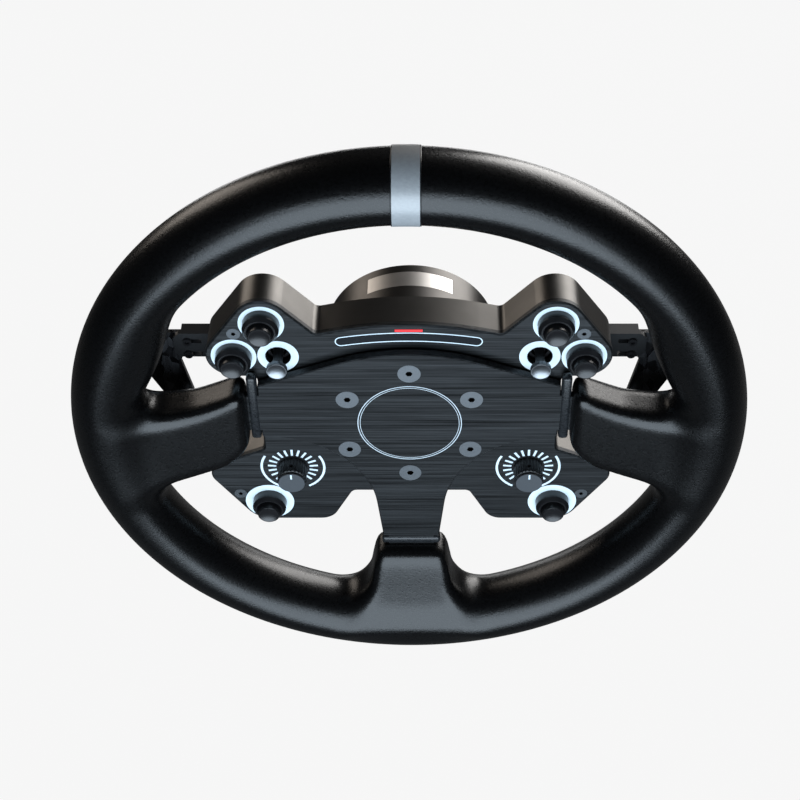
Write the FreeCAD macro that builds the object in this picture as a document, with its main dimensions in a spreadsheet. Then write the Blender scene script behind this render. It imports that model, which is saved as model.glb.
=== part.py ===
import FreeCAD, Part
import math
import os
import re
import Sketcher

# Racing wheel. X points to the driver's right, Z up and Y away from the driver.
# The origin is the middle of the quick-release socket's mouth, so the wheel lies at negative Y.

Vector = FreeCAD.Vector
doc = FreeCAD.newDocument("racing_wheel")
sheet = doc.addObject("Spreadsheet::Sheet", "sizes")

sizes = [
    ("rim_diameter", 330, "outside of the grip"),
    ("grip_width", 32, "grip across, in the plane of the rim"),
    ("grip_depth", 37.5, "grip front to back"),
    ("grip_forward", 2.46, "middle of the grip in front of the plate"),
    ("thumb_rest_turn", 22, "thumb rests above the side spokes, in degrees"),
    ("thumb_rest_inset", 8.5, "their middle inside the ring of the grip"),
    ("thumb_rest_half", 38, "their half length"),
    ("thumb_rest_radius", 13.5, "their thickest part"),
    ("core_radius", 9, "round bar inside the grip"),
    ("band_width", 12, "marker band at twelve o'clock"),
    ("band_sink", 1.5, "band let into the grip"),
    ("band_proud", 0.4, "band above the grip"),
    ("soft_gap", 0.3, "leather to its hard neighbours"),
    ("plate_front", -71.3, "front face of the centre plate"),
    ("plate_thick", 4, "centre plate"),
    ("plate_top", 47.5, "highest point of the centre plate"),
    ("plate_top_arc", 100, "radius of its top edge"),
    ("plate_end", 73.5, "half length of its bare part"),
    ("plate_shoulder", 27, "upper corner of its ends"),
    ("plate_underside", 8.6, "lower corner of its ends, below the axis"),
    ("plate_foot", 85, "bottom end of its bare part"),
    ("plate_foot_half", 14.8, "half width there"),
    ("cutout_radius", 54.7, "round cut-outs beside the bottom spoke"),
    ("tongue_half", 12, "half width of the spoke tongues"),
    ("side_tongue_rise", 8.5, "middle of the side tongues above the axis"),
    ("corner_radius", 1, "small corners of the plate"),
    ("plate_edge", 0.5, "chamfer of its front edge"),
    ("trim_width", 5.5, "collar between plate and leather"),
    ("trim_proud", 1, "collar in front of the plate"),
    ("trim_half", 18.15, "half height of the side collars"),
    ("trim_round", 1.2, "corners of the collars"),
    ("slip_gap", 0.1, "rigid pieces that slide together"),
    ("screw_margin", 5.5, "six wheel screws inside the spacer's edge"),
    ("screw_head", 5.6, "head radius of a wheel screw"),
    ("screw_radius", 2.5, "its shank"),
    ("head_depth", 2.6, "its countersink"),
    ("key_flats", 3, "its hexagon socket"),
    ("key_depth", 2, "its hexagon socket"),
    ("spacer_radius", 40.5, "hub spacer"),
    ("spacer_bore", 22, "cable way in the spacer"),
    ("panel_setback", 6, "front of the plate to front of the panel"),
    ("panel_thick", 3, "face panel"),
    ("panel_top", 61, "highest point of its top edge"),
    ("panel_top_arc", 153, "radius of its top edge"),
    ("panel_edge", 0.8, "chamfer of its front edge"),
    ("valley_side", 43.2, "hollow between the top edge and the upper buttons"),
    ("valley_rise", 58.7, "above the axis"),
    ("valley_radius", 3.5, "its round"),
    ("lobe_radius", 13.7, "panel edge round the upper buttons"),
    ("foot_radius", 14.2, "panel edge round the lower buttons"),
    ("notch_side", 74, "inner side of the spoke notch"),
    ("notch_radius", 3, "its corners"),
    ("notch_drop", 22, "its lower corner below the axis"),
    ("panel_foot", 77.8, "lowest edge of the panel"),
    ("panel_arch", 55.5, "underside between the wings"),
    ("arch_side", 27.9, "corner of the underside"),
    ("arch_radius", 4, "its round"),
    ("wing_reach", 103, "widest point of the lower wings"),
    ("wing_radius", 9, "corners of the lower wings"),
    ("wing_drop", 43, "outer corner below the axis"),
    ("heel_inset", 55.6, "inner corner from the wing's widest point"),
    ("shell_depth", 19.2, "rear shell behind the panel"),
    ("shell_wall", 2.5, "its wall"),
    ("shell_inset", 0.2, "shell inside the panel's edge"),
    ("shell_edge", 1.2, "chamfer of its rear edge"),
    ("board_thick", 1.6, "circuit boards"),
    ("board_setback", 7, "behind the panel"),
    ("board_edge", 47, "inner edge of the control boards"),
    ("board_gap", 0.5, "boards to the shell's wall"),
    ("post_inset", 6, "board posts from the boards' inner edge"),
    ("post_rise", 50, "upper board posts"),
    ("post_drop", 66, "lower board posts"),
    ("post_radius", 3, "board posts"),
    ("upper_button_side", 69.4, "upper buttons"),
    ("upper_button_rise", 61.7, "above the axis"),
    ("outer_button_side", 84.05, "outer buttons"),
    ("outer_button_rise", 41, "above the axis"),
    ("lower_button_inset", 28.75, "lower buttons from the wing's widest point"),
    ("lower_button_drop", 63.65, "below the axis"),
    ("stick_side", 62.75, "thumb sticks"),
    ("stick_rise", 41, "above the axis"),
    ("knob_inset", 42.5, "rotary knobs from the wing's widest point"),
    ("knob_drop", 37.15, "below the axis"),
    ("upper_screw_side", 83, "upper panel screws"),
    ("upper_screw_rise", 55.4, "above the axis"),
    ("lower_screw_inset", 13.85, "lower panel screws from the wing's widest point"),
    ("lower_screw_drop", 57.7, "below the axis"),
    ("panel_screw_head", 3.3, "head radius of a panel screw"),
    ("panel_screw_radius", 1.5, "its shank"),
    ("panel_screw_reach", 9, "its end behind the panel"),
    ("small_key", 2, "hexagon socket of the small screws"),
    ("small_key_depth", 1.2, "hexagon socket of the small screws"),
    ("boss_radius", 4.4, "posts in the shell"),
    ("bezel_base", 8.7, "button bezel at the panel"),
    ("bezel_mouth", 7.3, "button bezel at its front"),
    ("bezel_proud", 6.4, "button bezel above the panel"),
    ("bezel_shoulder", 4.6, "straight part of the bezel"),
    ("bezel_lip", 0.7, "slope inside its mouth"),
    ("barrel_radius", 7, "button barrel through the panel"),
    ("barrel_length", 4, "button barrel behind the panel"),
    ("cap_radius", 5.6, "button cap"),
    ("cap_proud", 10, "button cap above the panel"),
    ("cap_travel", 2, "button travel"),
    ("cap_dish", 0.9, "hollow in the cap's face"),
    ("cap_rim", 0.7, "flat rim round the hollow"),
    ("cap_round", 0.4, "edge of the rim"),
    ("button_switch", 10, "switch under a button"),
    ("stem_radius", 2, "cap stem"),
    ("nut_thick", 2.5, "panel nuts"),
    ("nut_flats", 18, "button nuts"),
    ("button_ring", 10.9, "light ring of the upper buttons"),
    ("lower_ring", 12.7, "light ring of the lower buttons"),
    ("stick_ring", 9.9, "light ring of the thumb sticks"),
    ("stick_opening", 6, "hole round a thumb stick"),
    ("ring_thick", 0.9, "light rings"),
    ("ring_proud", 0.1, "light rings above the panel"),
    ("knob_radius", 7.4, "rotary knob"),
    ("knob_proud", 11.4, "rotary knob above the panel"),
    ("knob_face", 6.6, "its face"),
    ("knob_edge", 0.3, "edge of its face"),
    ("knob_skirt", 9.4, "ridged part above the panel"),
    ("knob_roof", 2.5, "solid end of the knob"),
    ("knob_screw", 6, "set screw above the panel"),
    ("knob_screw_radius", 0.9, "set screw"),
    ("flute_radius", 0.6, "grooves round the knob"),
    ("flute_offset", 0.25, "their middle outside the knob"),
    ("knob_gap", 0.5, "under the knob"),
    ("knob_teeth", 24, "grooves round the knob"),
    ("shaft_radius", 3, "encoder shaft"),
    ("bushing_radius", 3.5, "encoder bushing"),
    ("bushing_proud", 3.2, "encoder bushing above the panel"),
    ("shaft_tail", 4.5, "encoder shaft behind the panel"),
    ("encoder_nut_flats", 8.5, "encoder nut"),
    ("encoder_nut_thick", 2, "encoder nut"),
    ("encoder_side", 12, "encoder body"),
    ("stick_proud", 10.8, "thumb stick above the panel"),
    ("stick_neck", 2.4, "thumb stick neck radius"),
    ("stick_cap", 5, "thumb stick cap radius"),
    ("stick_cap_thick", 4, "thumb stick cap"),
    ("stick_cap_round", 0.3, "edge of its face"),
    ("stick_cap_rim", 0.6, "flat rim round its hollow"),
    ("stick_cap_dish", 0.8, "hollow in its face"),
    ("stick_cap_flare", 1.6, "cone behind the cap"),
    ("stick_cap_socket", 3, "depth of the neck's end in the cap"),
    ("stick_pivot", 6, "its pivot behind the panel's front"),
    ("stick_ball", 3, "hub of the thumb stick"),
    ("gimbal_outer", 5.8, "gimbal ring outside"),
    ("gimbal_inner", 4.3, "gimbal ring inside"),
    ("gimbal_thick", 2.4, "gimbal ring"),
    ("pivot_radius", 0.8, "gimbal pins"),
    ("base_outer", 8.4, "thumb stick base outside"),
    ("base_inner", 6.6, "thumb stick base inside"),
    ("lamp_arc", 177, "middle line of the rev-light slot"),
    ("lamp_rise", 53.3, "slot above the axis"),
    ("lamp_half_length", 35.3, "half length of the slot"),
    ("lamp_half_height", 2.9, "half height of the slot"),
    ("lamp_count", 10, "rev lights"),
    ("lamp_pitch", 6.6, "rev lights"),
    ("lamp_length", 3.2, "one rev light"),
    ("lamp_height", 2.8, "one rev light"),
    ("lamp_board_margin", 1.1, "their board round the slot"),
    ("lens_thick", 2, "diffuser"),
    ("mark_half", 6.6, "half length of the centre mark"),
    ("mark_rise", 57.6, "centre mark above the axis"),
    ("mark_height", 1.4, "centre mark"),
    ("mark_thick", 0.6, "centre mark"),
    ("mark_proud", 0.1, "centre mark above the panel"),
    ("flange_radius", 42, "quick-release flange"),
    ("flange_thick", 6, "quick-release flange"),
    ("barrel_outer", 29.5, "quick-release barrel outside"),
    ("socket_radius", 22, "quick-release socket"),
    ("socket_depth", 30, "quick-release socket"),
    ("cable_way", 14, "hole for the contacts"),
    ("contact_radius", 18.4, "contact board"),
    ("contact_pocket", 4.5, "its pocket behind the socket"),
    ("contact_thick", 2, "contact board"),
    ("contact_circle", 12, "contact pins"),
    ("contact_pin_radius", 1, "contact pins"),
    ("contact_pin_length", 2.2, "contact pins"),
    ("snap_setback", 0.4, "snap ring in front of the mouth"),
    ("snap_thick", 1.1, "snap ring"),
    ("snap_groove", 0.9, "its groove in the barrel"),
    ("snap_proud", 2.3, "snap ring outside the barrel"),
    ("collar_radius", 43.8, "release collar outside"),
    ("collar_length", 29.3, "release collar"),
    ("collar_travel", 6, "release collar travel"),
    ("collar_edge", 0.6, "chamfers of the collar"),
    ("collar_land", 2.5, "sliding parts of the collar"),
    ("label_half", 21.5, "half length of the collar's name plate"),
    ("label_setback", 5.6, "name plate in front of the mouth"),
    ("label_width", 10.8, "name plate along the collar"),
    ("label_thick", 0.4, "name plate"),
    ("spring_pocket", 34.6, "room for the collar spring"),
    ("spring_pocket_depth", 8, "room for the collar spring"),
    ("ball_radius", 4, "locking balls"),
    ("ball_setback", 14.3, "balls in front of the mouth"),
    ("ball_count", 6, "locking balls"),
    ("ball_relief", 1.9, "groove round the balls"),
    ("ball_gap", 0.05, "balls outside the socket"),
    ("spring_width", 2.6, "flat wire of the collar spring"),
    ("spring_height", 1.2, "flat wire of the collar spring"),
    ("spring_turns", 3, "collar spring"),
    ("arm_setback", 33, "front of the plate to the paddle arm"),
    ("arm_thick", 3, "paddle arm"),
    ("arm_end", 118, "outer end of the paddle arm"),
    ("arm_top", 31, "upper edge of the arm"),
    ("arm_bottom", 15.5, "lower edge of the arm"),
    ("arm_corner", 3, "chamfer of the arm's end"),
    ("flange_end", 114, "outer end of the arm's folded edge"),
    ("flange_depth", 4.6, "folded edge behind the arm"),
    ("flange_fold", 1.4, "folded edge"),
    ("slot_low", 2.2, "lower slot above the arm's edge"),
    ("slot_high", 10.5, "upper slot above the arm's edge"),
    ("slot_length", 7, "slots for the blade's screws"),
    ("slot_half", 1.3, "slots for the blade's screws"),
    ("slot_inset", 1.8, "screws from the blade's inner edge"),
    ("blade_screw", 1.2, "shank of the blade's screws"),
    ("blade_screw_head", 2.2, "head radius of the blade's screws"),
    ("blade_screw_rise", 1.4, "their heads"),
    ("hinge_side", 60, "paddle hinge"),
    ("hinge_radius", 1.5, "hinge pin"),
    ("knuckle_radius", 3.6, "paddle knuckle"),
    ("knuckle_inset", 1.5, "knuckle ends inside the arm's edges"),
    ("knuckle_gap", 0.3, "knuckle to the bracket's ears"),
    ("blade_thick", 2.4, "paddle blade"),
    ("blade_inner", 112.8, "inner edge of the blade"),
    ("blade_outer", 142, "outer edge of the blade"),
    ("blade_top", 29.2, "upper edge of the blade"),
    ("blade_drop", 42, "tip of the blade below the axis"),
    ("blade_corner", 3, "inner corner of the blade"),
    ("blade_shoulder", 9, "outer corner of the blade"),
    ("blade_hollow", 4.5, "inside corner under the arm"),
    ("blade_tip", 4, "round tip of the blade"),
    ("bracket_thick", 1.8, "paddle bracket"),
    ("bracket_half", 13, "half width of the bracket"),
    ("bracket_margin", 6, "bracket beyond the arm's edges"),
    ("ear_margin", 4, "bracket's ears beyond the arm's edges"),
    ("paddle_switch_side", 6, "switch outside the hinge"),
    ("paddle_switch_width", 5, "paddle switch"),
    ("paddle_switch_rise", 4, "switch above the arm's lower edge"),
    ("paddle_switch_height", 7, "paddle switch"),
    ("paddle_switch_thick", 1.6, "paddle switch"),
]

for row, (alias, value, note) in enumerate(sizes, start=1):
    sheet.set(f"A{row}", alias)
    sheet.set(f"B{row}", str(value))
    sheet.setAlias(f"B{row}", alias)
    sheet.set(f"C{row}", note)
doc.recompute()

# Places worked out from the driving sizes.
derived = {
    "grip_mid": "plate_front - grip_forward",
    "ring_radius": "rim_diameter / 2 - grip_width / 2",
    "plate_back": "plate_front + plate_thick",
    "panel_front": "plate_front + panel_setback",
    "panel_back": "panel_front + panel_thick",
    "shell_back": "panel_back + shell_depth",
    "shell_floor": "shell_back - shell_wall",
    "board_front": "panel_back + board_setback",
    "board_back": "board_front + board_thick",
    "flange_back": "shell_back + flange_thick",
    "collar_front": "-collar_length",
    "arm_front": "plate_front + arm_setback",
    "arm_back": "arm_front + arm_thick",
    "arm_mid": "arm_front + arm_thick / 2",
    "screw_ring": "spacer_radius - screw_margin",
    "lower_button_side": "wing_reach - lower_button_inset",
    "lower_screw_side": "wing_reach - lower_screw_inset",
    "knob_side": "wing_reach - knob_inset",
    "cap_hollow": "((cap_radius - cap_rim)^2 + cap_dish^2) / (2 * cap_dish)",
    "stick_hollow": "((stick_cap - stick_cap_rim)^2 + stick_cap_dish^2) / (2 * stick_cap_dish)",
    "knob_hollow": "encoder_nut_flats / 1.732 + 5 * slip_gap",
    "snap_room": "snap_setback + snap_thick + 2 * slip_gap",
    "stick_pivot_at": "panel_front + stick_pivot",
}
aliases = {alias for alias, value, note in sizes}


def sheet_words(expression):
    """The expression with every derived word spelled out and every alias read from the sheet."""
    expression = str(expression)
    while any(word in derived for word in re.findall(r"[a-z_]+", expression)):
        expression = re.sub(r"[a-z_]+", lambda hit: f"({derived[hit[0]]})" if hit[0] in derived
                            else hit[0], expression)
    return re.sub(r"[a-z_]+", lambda hit: f"sizes.{hit[0]}" if hit[0] in aliases
                  else hit[0], expression)


def get(expression):
    return float(doc.sizes.evalExpression(sheet_words(expression).replace("sizes.", "")))


def bind(item, name, expression):
    item.setExpression(name, sheet_words(expression))


def stand(item, x="0", y="0", z="0"):
    for letter, expression in zip("xyz", (x, y, z)):
        bind(item, f"Placement.Base.{letter}", expression)


nodes = {}


def keep(name, item):
    item.Label = name
    nodes[name] = item
    return item


def shape_node(name, shape):
    item = doc.addObject("Part::Feature", name)
    item.Shape = shape
    return keep(name, item)


def group_node(name, shapes):
    return shape_node(name, Part.makeCompound(shapes))


# ---- turned pieces -------------------------------------------------------------------------

def plane_of(body, role):
    return next(item for item in body.Origin.OriginFeatures if item.Role == role)


def sketch_on(body, name, role="XY_Plane"):
    sketch = body.newObject("Sketcher::SketchObject", name)
    sketch.AttachmentSupport = [(plane_of(body, role), "")]
    sketch.MapMode = "FlatFace"
    return sketch


def draw_profile(sketch, corners):
    """Straight lines through corners given as pairs of expressions, each held by its own sizes."""
    places = [Vector(get(across), get(along), 0) for across, along in corners]
    count = len(corners)
    for index in range(count):
        sketch.addGeometry(Part.LineSegment(places[index], places[(index + 1) % count]), False)
    for index in range(count):
        sketch.addConstraint(Sketcher.Constraint("Coincident", index, 2, (index + 1) % count, 1))
    for index, corner in enumerate(corners):
        for kind, axis, expression, value in (
                ("DistanceX", -2, corner[0], places[index].x),
                ("DistanceY", -1, corner[1], places[index].y)):
            if abs(value) < 1e-9 and str(expression) == "0":
                sketch.addConstraint(Sketcher.Constraint("PointOnObject", index, 1, axis))
            else:
                number = sketch.addConstraint(Sketcher.Constraint(kind, -1, 1, index, 1, value))
                sketch.setExpression(f"Constraints[{number}]", sheet_words(expression))


def turned(name, corners, x="0", y="0", z="0"):
    """A body turned about its own Y axis from (radius, depth) corners."""
    body = doc.addObject("PartDesign::Body", name)
    sketch = sketch_on(body, f"{name}_profile")
    draw_profile(sketch, corners)
    turn = body.newObject("PartDesign::Revolution", f"{name}_turn")
    turn.Profile = sketch
    turn.ReferenceAxis = (sketch, ["V_Axis"])
    turn.Angle = 360
    stand(body, x, y, z)
    return body


def hollow(body, radius, place):
    """A round hollow in the front face of a turned body: a ball cut away in front of it."""
    ball = body.newObject("PartDesign::SubtractiveSphere", f"{body.Name}_hollow")
    bind(ball, "Radius", radius)
    bind(ball, "Placement.Base.y", place)
    body.Tip = ball


# ---- outlines made of arcs joined by tangent lines ------------------------------------------

def belt(circles, inset=0.0):
    """A closed wire in the XZ plane that runs round circles (x, z, radius, side).

    side is 1 where the edge bulges out and -1 where it curves in. The wire runs clockwise
    as the driver sees it, and inset moves the whole edge inwards.
    """
    rounds = [(Vector(x, 0, z), side * radius - inset) for x, z, radius, side in circles]
    touches = []
    for index, (centre, radius) in enumerate(rounds):
        other, other_radius = rounds[(index + 1) % len(rounds)]
        line = other - centre
        swing = math.asin(max(-1.0, min(1.0, (radius - other_radius) / line.Length)))
        heading = math.atan2(line.z, line.x) + math.pi / 2 - swing
        normal = Vector(math.cos(heading), 0, math.sin(heading))
        touches.append((centre + normal * radius, other + normal * other_radius))
    edges = []
    for index, (centre, radius) in enumerate(rounds):
        start = touches[index - 1][1]
        end = touches[index][0]
        if (end - start).Length > 1e-6 and abs(radius) > 1e-6:
            middle = (start + end) * 0.5 - centre
            turn = math.atan2((start - centre).z, (start - centre).x) - math.atan2(
                (end - centre).z, (end - centre).x)
            turn = (turn if radius > 0 else -turn) % (2 * math.pi)
            if middle.Length < 1e-6:
                middle = Vector(-(start - centre).z, 0, (start - centre).x)
            side = 1 if turn < math.pi else -1
            through = centre + middle.normalize() * abs(radius) * side
            edges.append(Part.Arc(start, through, end).toShape())
        if (touches[index][1] - end).Length > 1e-6:
            edges.append(Part.makeLine(end, touches[index][1]))
    return Part.Wire(edges)


def slab(wire, start, end):
    """The face inside a wire in the XZ plane, pushed from depth start to depth end."""
    face = Part.Face(wire)
    face.translate(Vector(0, start, 0))
    return face.extrude(Vector(0, end - start, 0))


def rod(x, z, radius, start, end):
    return Part.makeCylinder(radius, end - start, Vector(x, start, z), Vector(0, 1, 0))


def cone(x, z, radius_start, radius_end, start, end):
    return Part.makeCone(radius_start, radius_end, end - start, Vector(x, start, z), Vector(0, 1, 0))


def block(x, y, z):
    """A box from three (low, high) pairs."""
    return Part.makeBox(x[1] - x[0], y[1] - y[0], z[1] - z[0], Vector(x[0], y[0], z[0]))


def hexagon(x, z, flats, start, end):
    corner = flats / 2 / math.cos(math.pi / 6)
    points = [Vector(x + corner * math.cos(math.pi / 3 * turn), start,
                     z + corner * math.sin(math.pi / 3 * turn)) for turn in range(7)]
    return Part.Face(Part.makePolygon(points)).extrude(Vector(0, end - start, 0))


def mirrored(shape):
    return shape.mirror(Vector(0, 0, 0), Vector(1, 0, 0))


def both(half):
    """A half outline given for the right side, made whole."""
    return half + [(-x, z, radius, side) for x, z, radius, side in reversed(half) if abs(x) > 1e-9]


# ---- shared places ---------------------------------------------------------------------------

button_places = {}
for side, sign in (("left", -1), ("right", 1)):
    for row, across, rise in (("upper", "upper_button_side", "upper_button_rise"),
                              ("outer", "outer_button_side", "outer_button_rise"),
                              ("lower", "lower_button_side", "-lower_button_drop")):
        button_places[f"{row}_{side}"] = (f"{sign} * {across}", rise)

screw_angles = [math.radians(30 + 60 * turn) for turn in range(6)]
wheel_screws = [(get("screw_ring") * math.cos(angle), get("screw_ring") * math.sin(angle))
                for angle in screw_angles]
panel_screws = [(sign * get(across), rise_sign * get(rise)) for sign in (-1, 1)
                for across, rise, rise_sign in (("upper_screw_side", "upper_screw_rise", 1),
                                                ("lower_screw_side", "lower_screw_drop", -1))]


# ---- grip, core and marker band --------------------------------------------------------------

def grip_ring(grow=0.0):
    """The round grip, an oval turned about the wheel's axis; grow moves its surface outwards."""
    half_width = get("grip_width") / 2 + grow
    half_depth = get("grip_depth") / 2 + grow
    middle = Vector(get("ring_radius"), get("grip_mid"), 0)
    oval = Part.Ellipse(middle + Vector(0, half_depth, 0), middle + Vector(half_width, 0, 0), middle)
    return Part.Face(Part.Wire(oval.toShape())).revolve(Vector(0, 0, 0), Vector(0, 1, 0), 360)


def sleeve_section(place, across, along, corner, turned_down):
    """A rounded rectangle: across and along are (low, high) pairs, along being depth."""
    low, high = across
    front, back = along
    flat = [(low + corner, front, 1, 0), (high - corner, front, 1, 0), (high, front + corner, 0, 1),
            (high, back - corner, 0, 1), (high - corner, back, 1, 0), (low + corner, back, 1, 0),
            (low, back - corner, 0, 1), (low, front + corner, 0, 1)]
    knee = corner * (1 - math.sqrt(0.5))
    knees = [(high - knee, front + knee), (high - knee, back - knee), (low + knee, back - knee),
             (low + knee, front + knee)]

    def put(a, b):
        return Vector(a, b, place) if turned_down else Vector(place, b, a)

    edges = []
    for index in range(4):
        first, second = flat[2 * index], flat[2 * index + 1]
        edges.append(Part.makeLine(put(*first[:2]), put(*second[:2])))
        after = flat[(2 * index + 2) % 8]
        edges.append(Part.Arc(put(*second[:2]), put(*knees[index]), put(*after[:2])).toShape())
    return Part.Wire(edges)


def stations(table, start, end):
    """Sleeve sections in millimetres from rows of shares of the grip's depth.

    The first share in a row is the section's place between start and end.
    """
    unit = get("grip_depth")
    return [[start + row[0] * (end - start)] + [share * unit for share in row[1:]] for row in table]


def side_sleeve():
    front = get("plate_front")
    bottom = get("side_tongue_rise - trim_half")
    top = get("side_tongue_rise + trim_half")
    # place, fall of the lower edge, fall of the upper edge, front, back, corner
    table = [(0, 0, 0, -0.24, 0.29, 0.16), (0.18, -0.31, -0.09, -0.27, 0.32, 0.21),
             (0.44, -0.49, -0.26, -0.29, 0.32, 0.24), (0.73, -0.65, -0.31, -0.35, 0.35, 0.27),
             (1, -0.80, -0.29, -0.39, 0.31, 0.27)]
    wires = [sleeve_section(x, (bottom + low, top + high), (front + near_face, front + far_face),
                            corner, False)
             for x, low, high, near_face, far_face, corner in
             stations(table, get("plate_end + trim_width + soft_gap"), sleeve_depth)]
    return Part.makeLoft(wires, True, False)


def bottom_sleeve():
    front = get("plate_front")
    # place, half width, front, back, corner
    table = [(0, 0.48, -0.24, 0.32, 0.13), (0.22, 0.54, -0.27, 0.32, 0.19),
             (0.51, 0.60, -0.32, 0.33, 0.21), (0.72, 0.76, -0.36, 0.35, 0.24),
             (1, 0.96, -0.39, 0.31, 0.24)]
    wires = [sleeve_section(z, (-half, half), (front + near_face, front + far_face), corner, True)
             for z, half, near_face, far_face, corner in
             stations(table, -get("plate_foot + trim_width + soft_gap"), -sleeve_depth)]
    return Part.makeLoft(wires, True, False)


def thumb_rest():
    """A swelling on the inner side of the grip above the right spoke, an oval turned about
    its long axis and laid along the rim."""
    oval = Part.Ellipse(Vector(0, 0, 0), get("thumb_rest_half"), get("thumb_rest_radius"))
    half = Part.ArcOfEllipse(oval, 0, math.pi).toShape()
    axis = Part.makeLine(half.Vertexes[-1].Point, half.Vertexes[0].Point)
    rest = Part.Face(Part.Wire([half, axis])).revolve(Vector(0, 0, 0), Vector(1, 0, 0), 360)
    rest.translate(Vector(0, get("grip_mid"), get("ring_radius - thumb_rest_inset")))
    rest.rotate(Vector(0, 0, 0), Vector(0, 1, 0), 90 - get("thumb_rest_turn"))
    return rest


def tongues(clearance=0.0):
    """The three spoke ends of the plate, from its bare part to the middle of the core."""
    half = get("tongue_half") + clearance
    rise = get("side_tongue_rise")
    depth = (get("plate_front") - clearance, get("plate_back") + clearance)
    reach = get("ring_radius") + clearance
    end = get("plate_end") - 2
    right = block((end, reach), depth, (rise - half, rise + half))
    down = block((-half, half), depth, (-reach, -(get("plate_foot") - 2)))
    return [right, mirrored(right), down]


sleeve_depth = get("ring_radius - 0.3 * grip_depth")
core = doc.addObject("Part::Torus", "core_bar")
bind(core, "Radius1", "ring_radius")
bind(core, "Radius2", "core_radius")
core.Placement.Rotation = FreeCAD.Rotation(Vector(1, 0, 0), -90)
stand(core, y="grip_mid")
tongue_space = doc.addObject("Part::Feature", "tongue_space")
tongue_space.Shape = tongues()[0].fuse(tongues()[1:])
rim_core = doc.addObject("Part::Cut", "rim_core")
rim_core.Base = core
rim_core.Tool = tongue_space
keep("rim_core", rim_core)
doc.recompute()

band_half = get("band_width") / 2


def band_slice(half):
    top = get("rim_diameter / 2 + grip_width / 2")
    depth = get("grip_depth")
    return block((-half, half), (get("grip_mid") - depth, get("grip_mid") + depth), (0, top))


grip = grip_ring().fuse([side_sleeve(), mirrored(side_sleeve()), bottom_sleeve(),
                         thumb_rest(), mirrored(thumb_rest())])
band_seat = grip_ring(get("band_proud")).cut(grip_ring(-get("band_sink"))).common(
    band_slice(band_half + get("soft_gap")))
grip = grip.cut([core.Shape] + tongues() + [band_seat])
shape_node("rim_grip", grip)

band = grip_ring(get("band_proud")).cut(grip_ring(-get("band_sink"))).common(band_slice(band_half))
shape_node("top_marker_band", band)


# ---- centre plate ----------------------------------------------------------------------------

def plate_outline():
    corner = get("corner_radius")
    end = get("plate_end") - corner
    cut = get("cutout_radius")
    foot = get("plate_foot_half")
    half = [(0, get("plate_top - plate_top_arc"), get("plate_top_arc"), 1),
            (end, get("plate_shoulder") - corner, corner, 1),
            (end, -get("plate_underside") + corner, corner, 1),
            (get("plate_end") - 1.5, -get("plate_underside") - cut, cut, -1),
            (foot - corner, -get("plate_foot") + corner, corner, 1)]
    return belt(both(half))


def screw_space(x, z, clearance=0.0):
    """A wheel screw's space: countersink in the plate and a straight hole behind it."""
    front = get("plate_front")
    head = get("screw_head") + clearance
    shank = get("screw_radius") + clearance
    depth = get("head_depth")
    return cone(x, z, head, shank, front, front + depth).fuse(
        rod(x, z, shank, front + depth, get("flange_back")))


def front_edges(shape, depth):
    return [edge for edge in shape.Edges if abs(edge.BoundBox.YMax - depth) < 1e-6
            and abs(edge.BoundBox.YMin - depth) < 1e-6]


plate = slab(plate_outline(), get("plate_front"), get("plate_back"))
plate = plate.makeChamfer(get("plate_edge"), front_edges(plate, get("plate_front")))
plate = plate.fuse(tongues())
plate = plate.cut([screw_space(x, z, get("slip_gap")) for x, z in wheel_screws]).removeSplitter()
shape_node("centre_plate", plate)

screws = []
for x, z in wheel_screws:
    socket = hexagon(x, z, get("key_flats"), get("plate_front"),
                     get("plate_front + key_depth"))
    screws.append(screw_space(x, z).cut(socket))
group_node("plate_screws", screws)


def trim_collar(across, along, ring_across, ring_along):
    """A collar round a tongue."""
    depth = (get("plate_front - trim_proud"), get("plate_back + trim_proud"))
    gap = get("slip_gap")
    outer = block(across, depth, along)
    edges = [edge for edge in outer.Edges if abs(edge.tangentAt(edge.FirstParameter).y) > 0.9]
    outer = outer.makeFillet(get("trim_round"), edges)
    inner_depth = (get("plate_front") - gap, get("plate_back") + gap)
    return outer.cut(block(ring_across, inner_depth, ring_along))


trim_start = get("plate_end + slip_gap")
trim_end = get("plate_end + trim_width")
rise = get("side_tongue_rise")
half_height = get("trim_half")
tongue = get("tongue_half + slip_gap")
side_trim = trim_collar((trim_start, trim_end), (rise - half_height, rise + half_height),
                        (trim_start - 1, trim_end + 1), (rise - tongue, rise + tongue))
shape_node("spoke_trim_right", side_trim)
shape_node("spoke_trim_left", mirrored(side_trim))
foot_end = get("plate_foot")
foot_half = get("plate_foot_half + trim_proud")
foot_trim = trim_collar((-foot_half, foot_half),
                        (-foot_end - get("trim_width"), -foot_end - get("slip_gap")),
                        (-tongue, tongue), (-foot_end - get("trim_width") - 1, -foot_end + 1))
shape_node("spoke_trim_bottom", foot_trim)


# ---- face panel and rear shell ---------------------------------------------------------------

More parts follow.
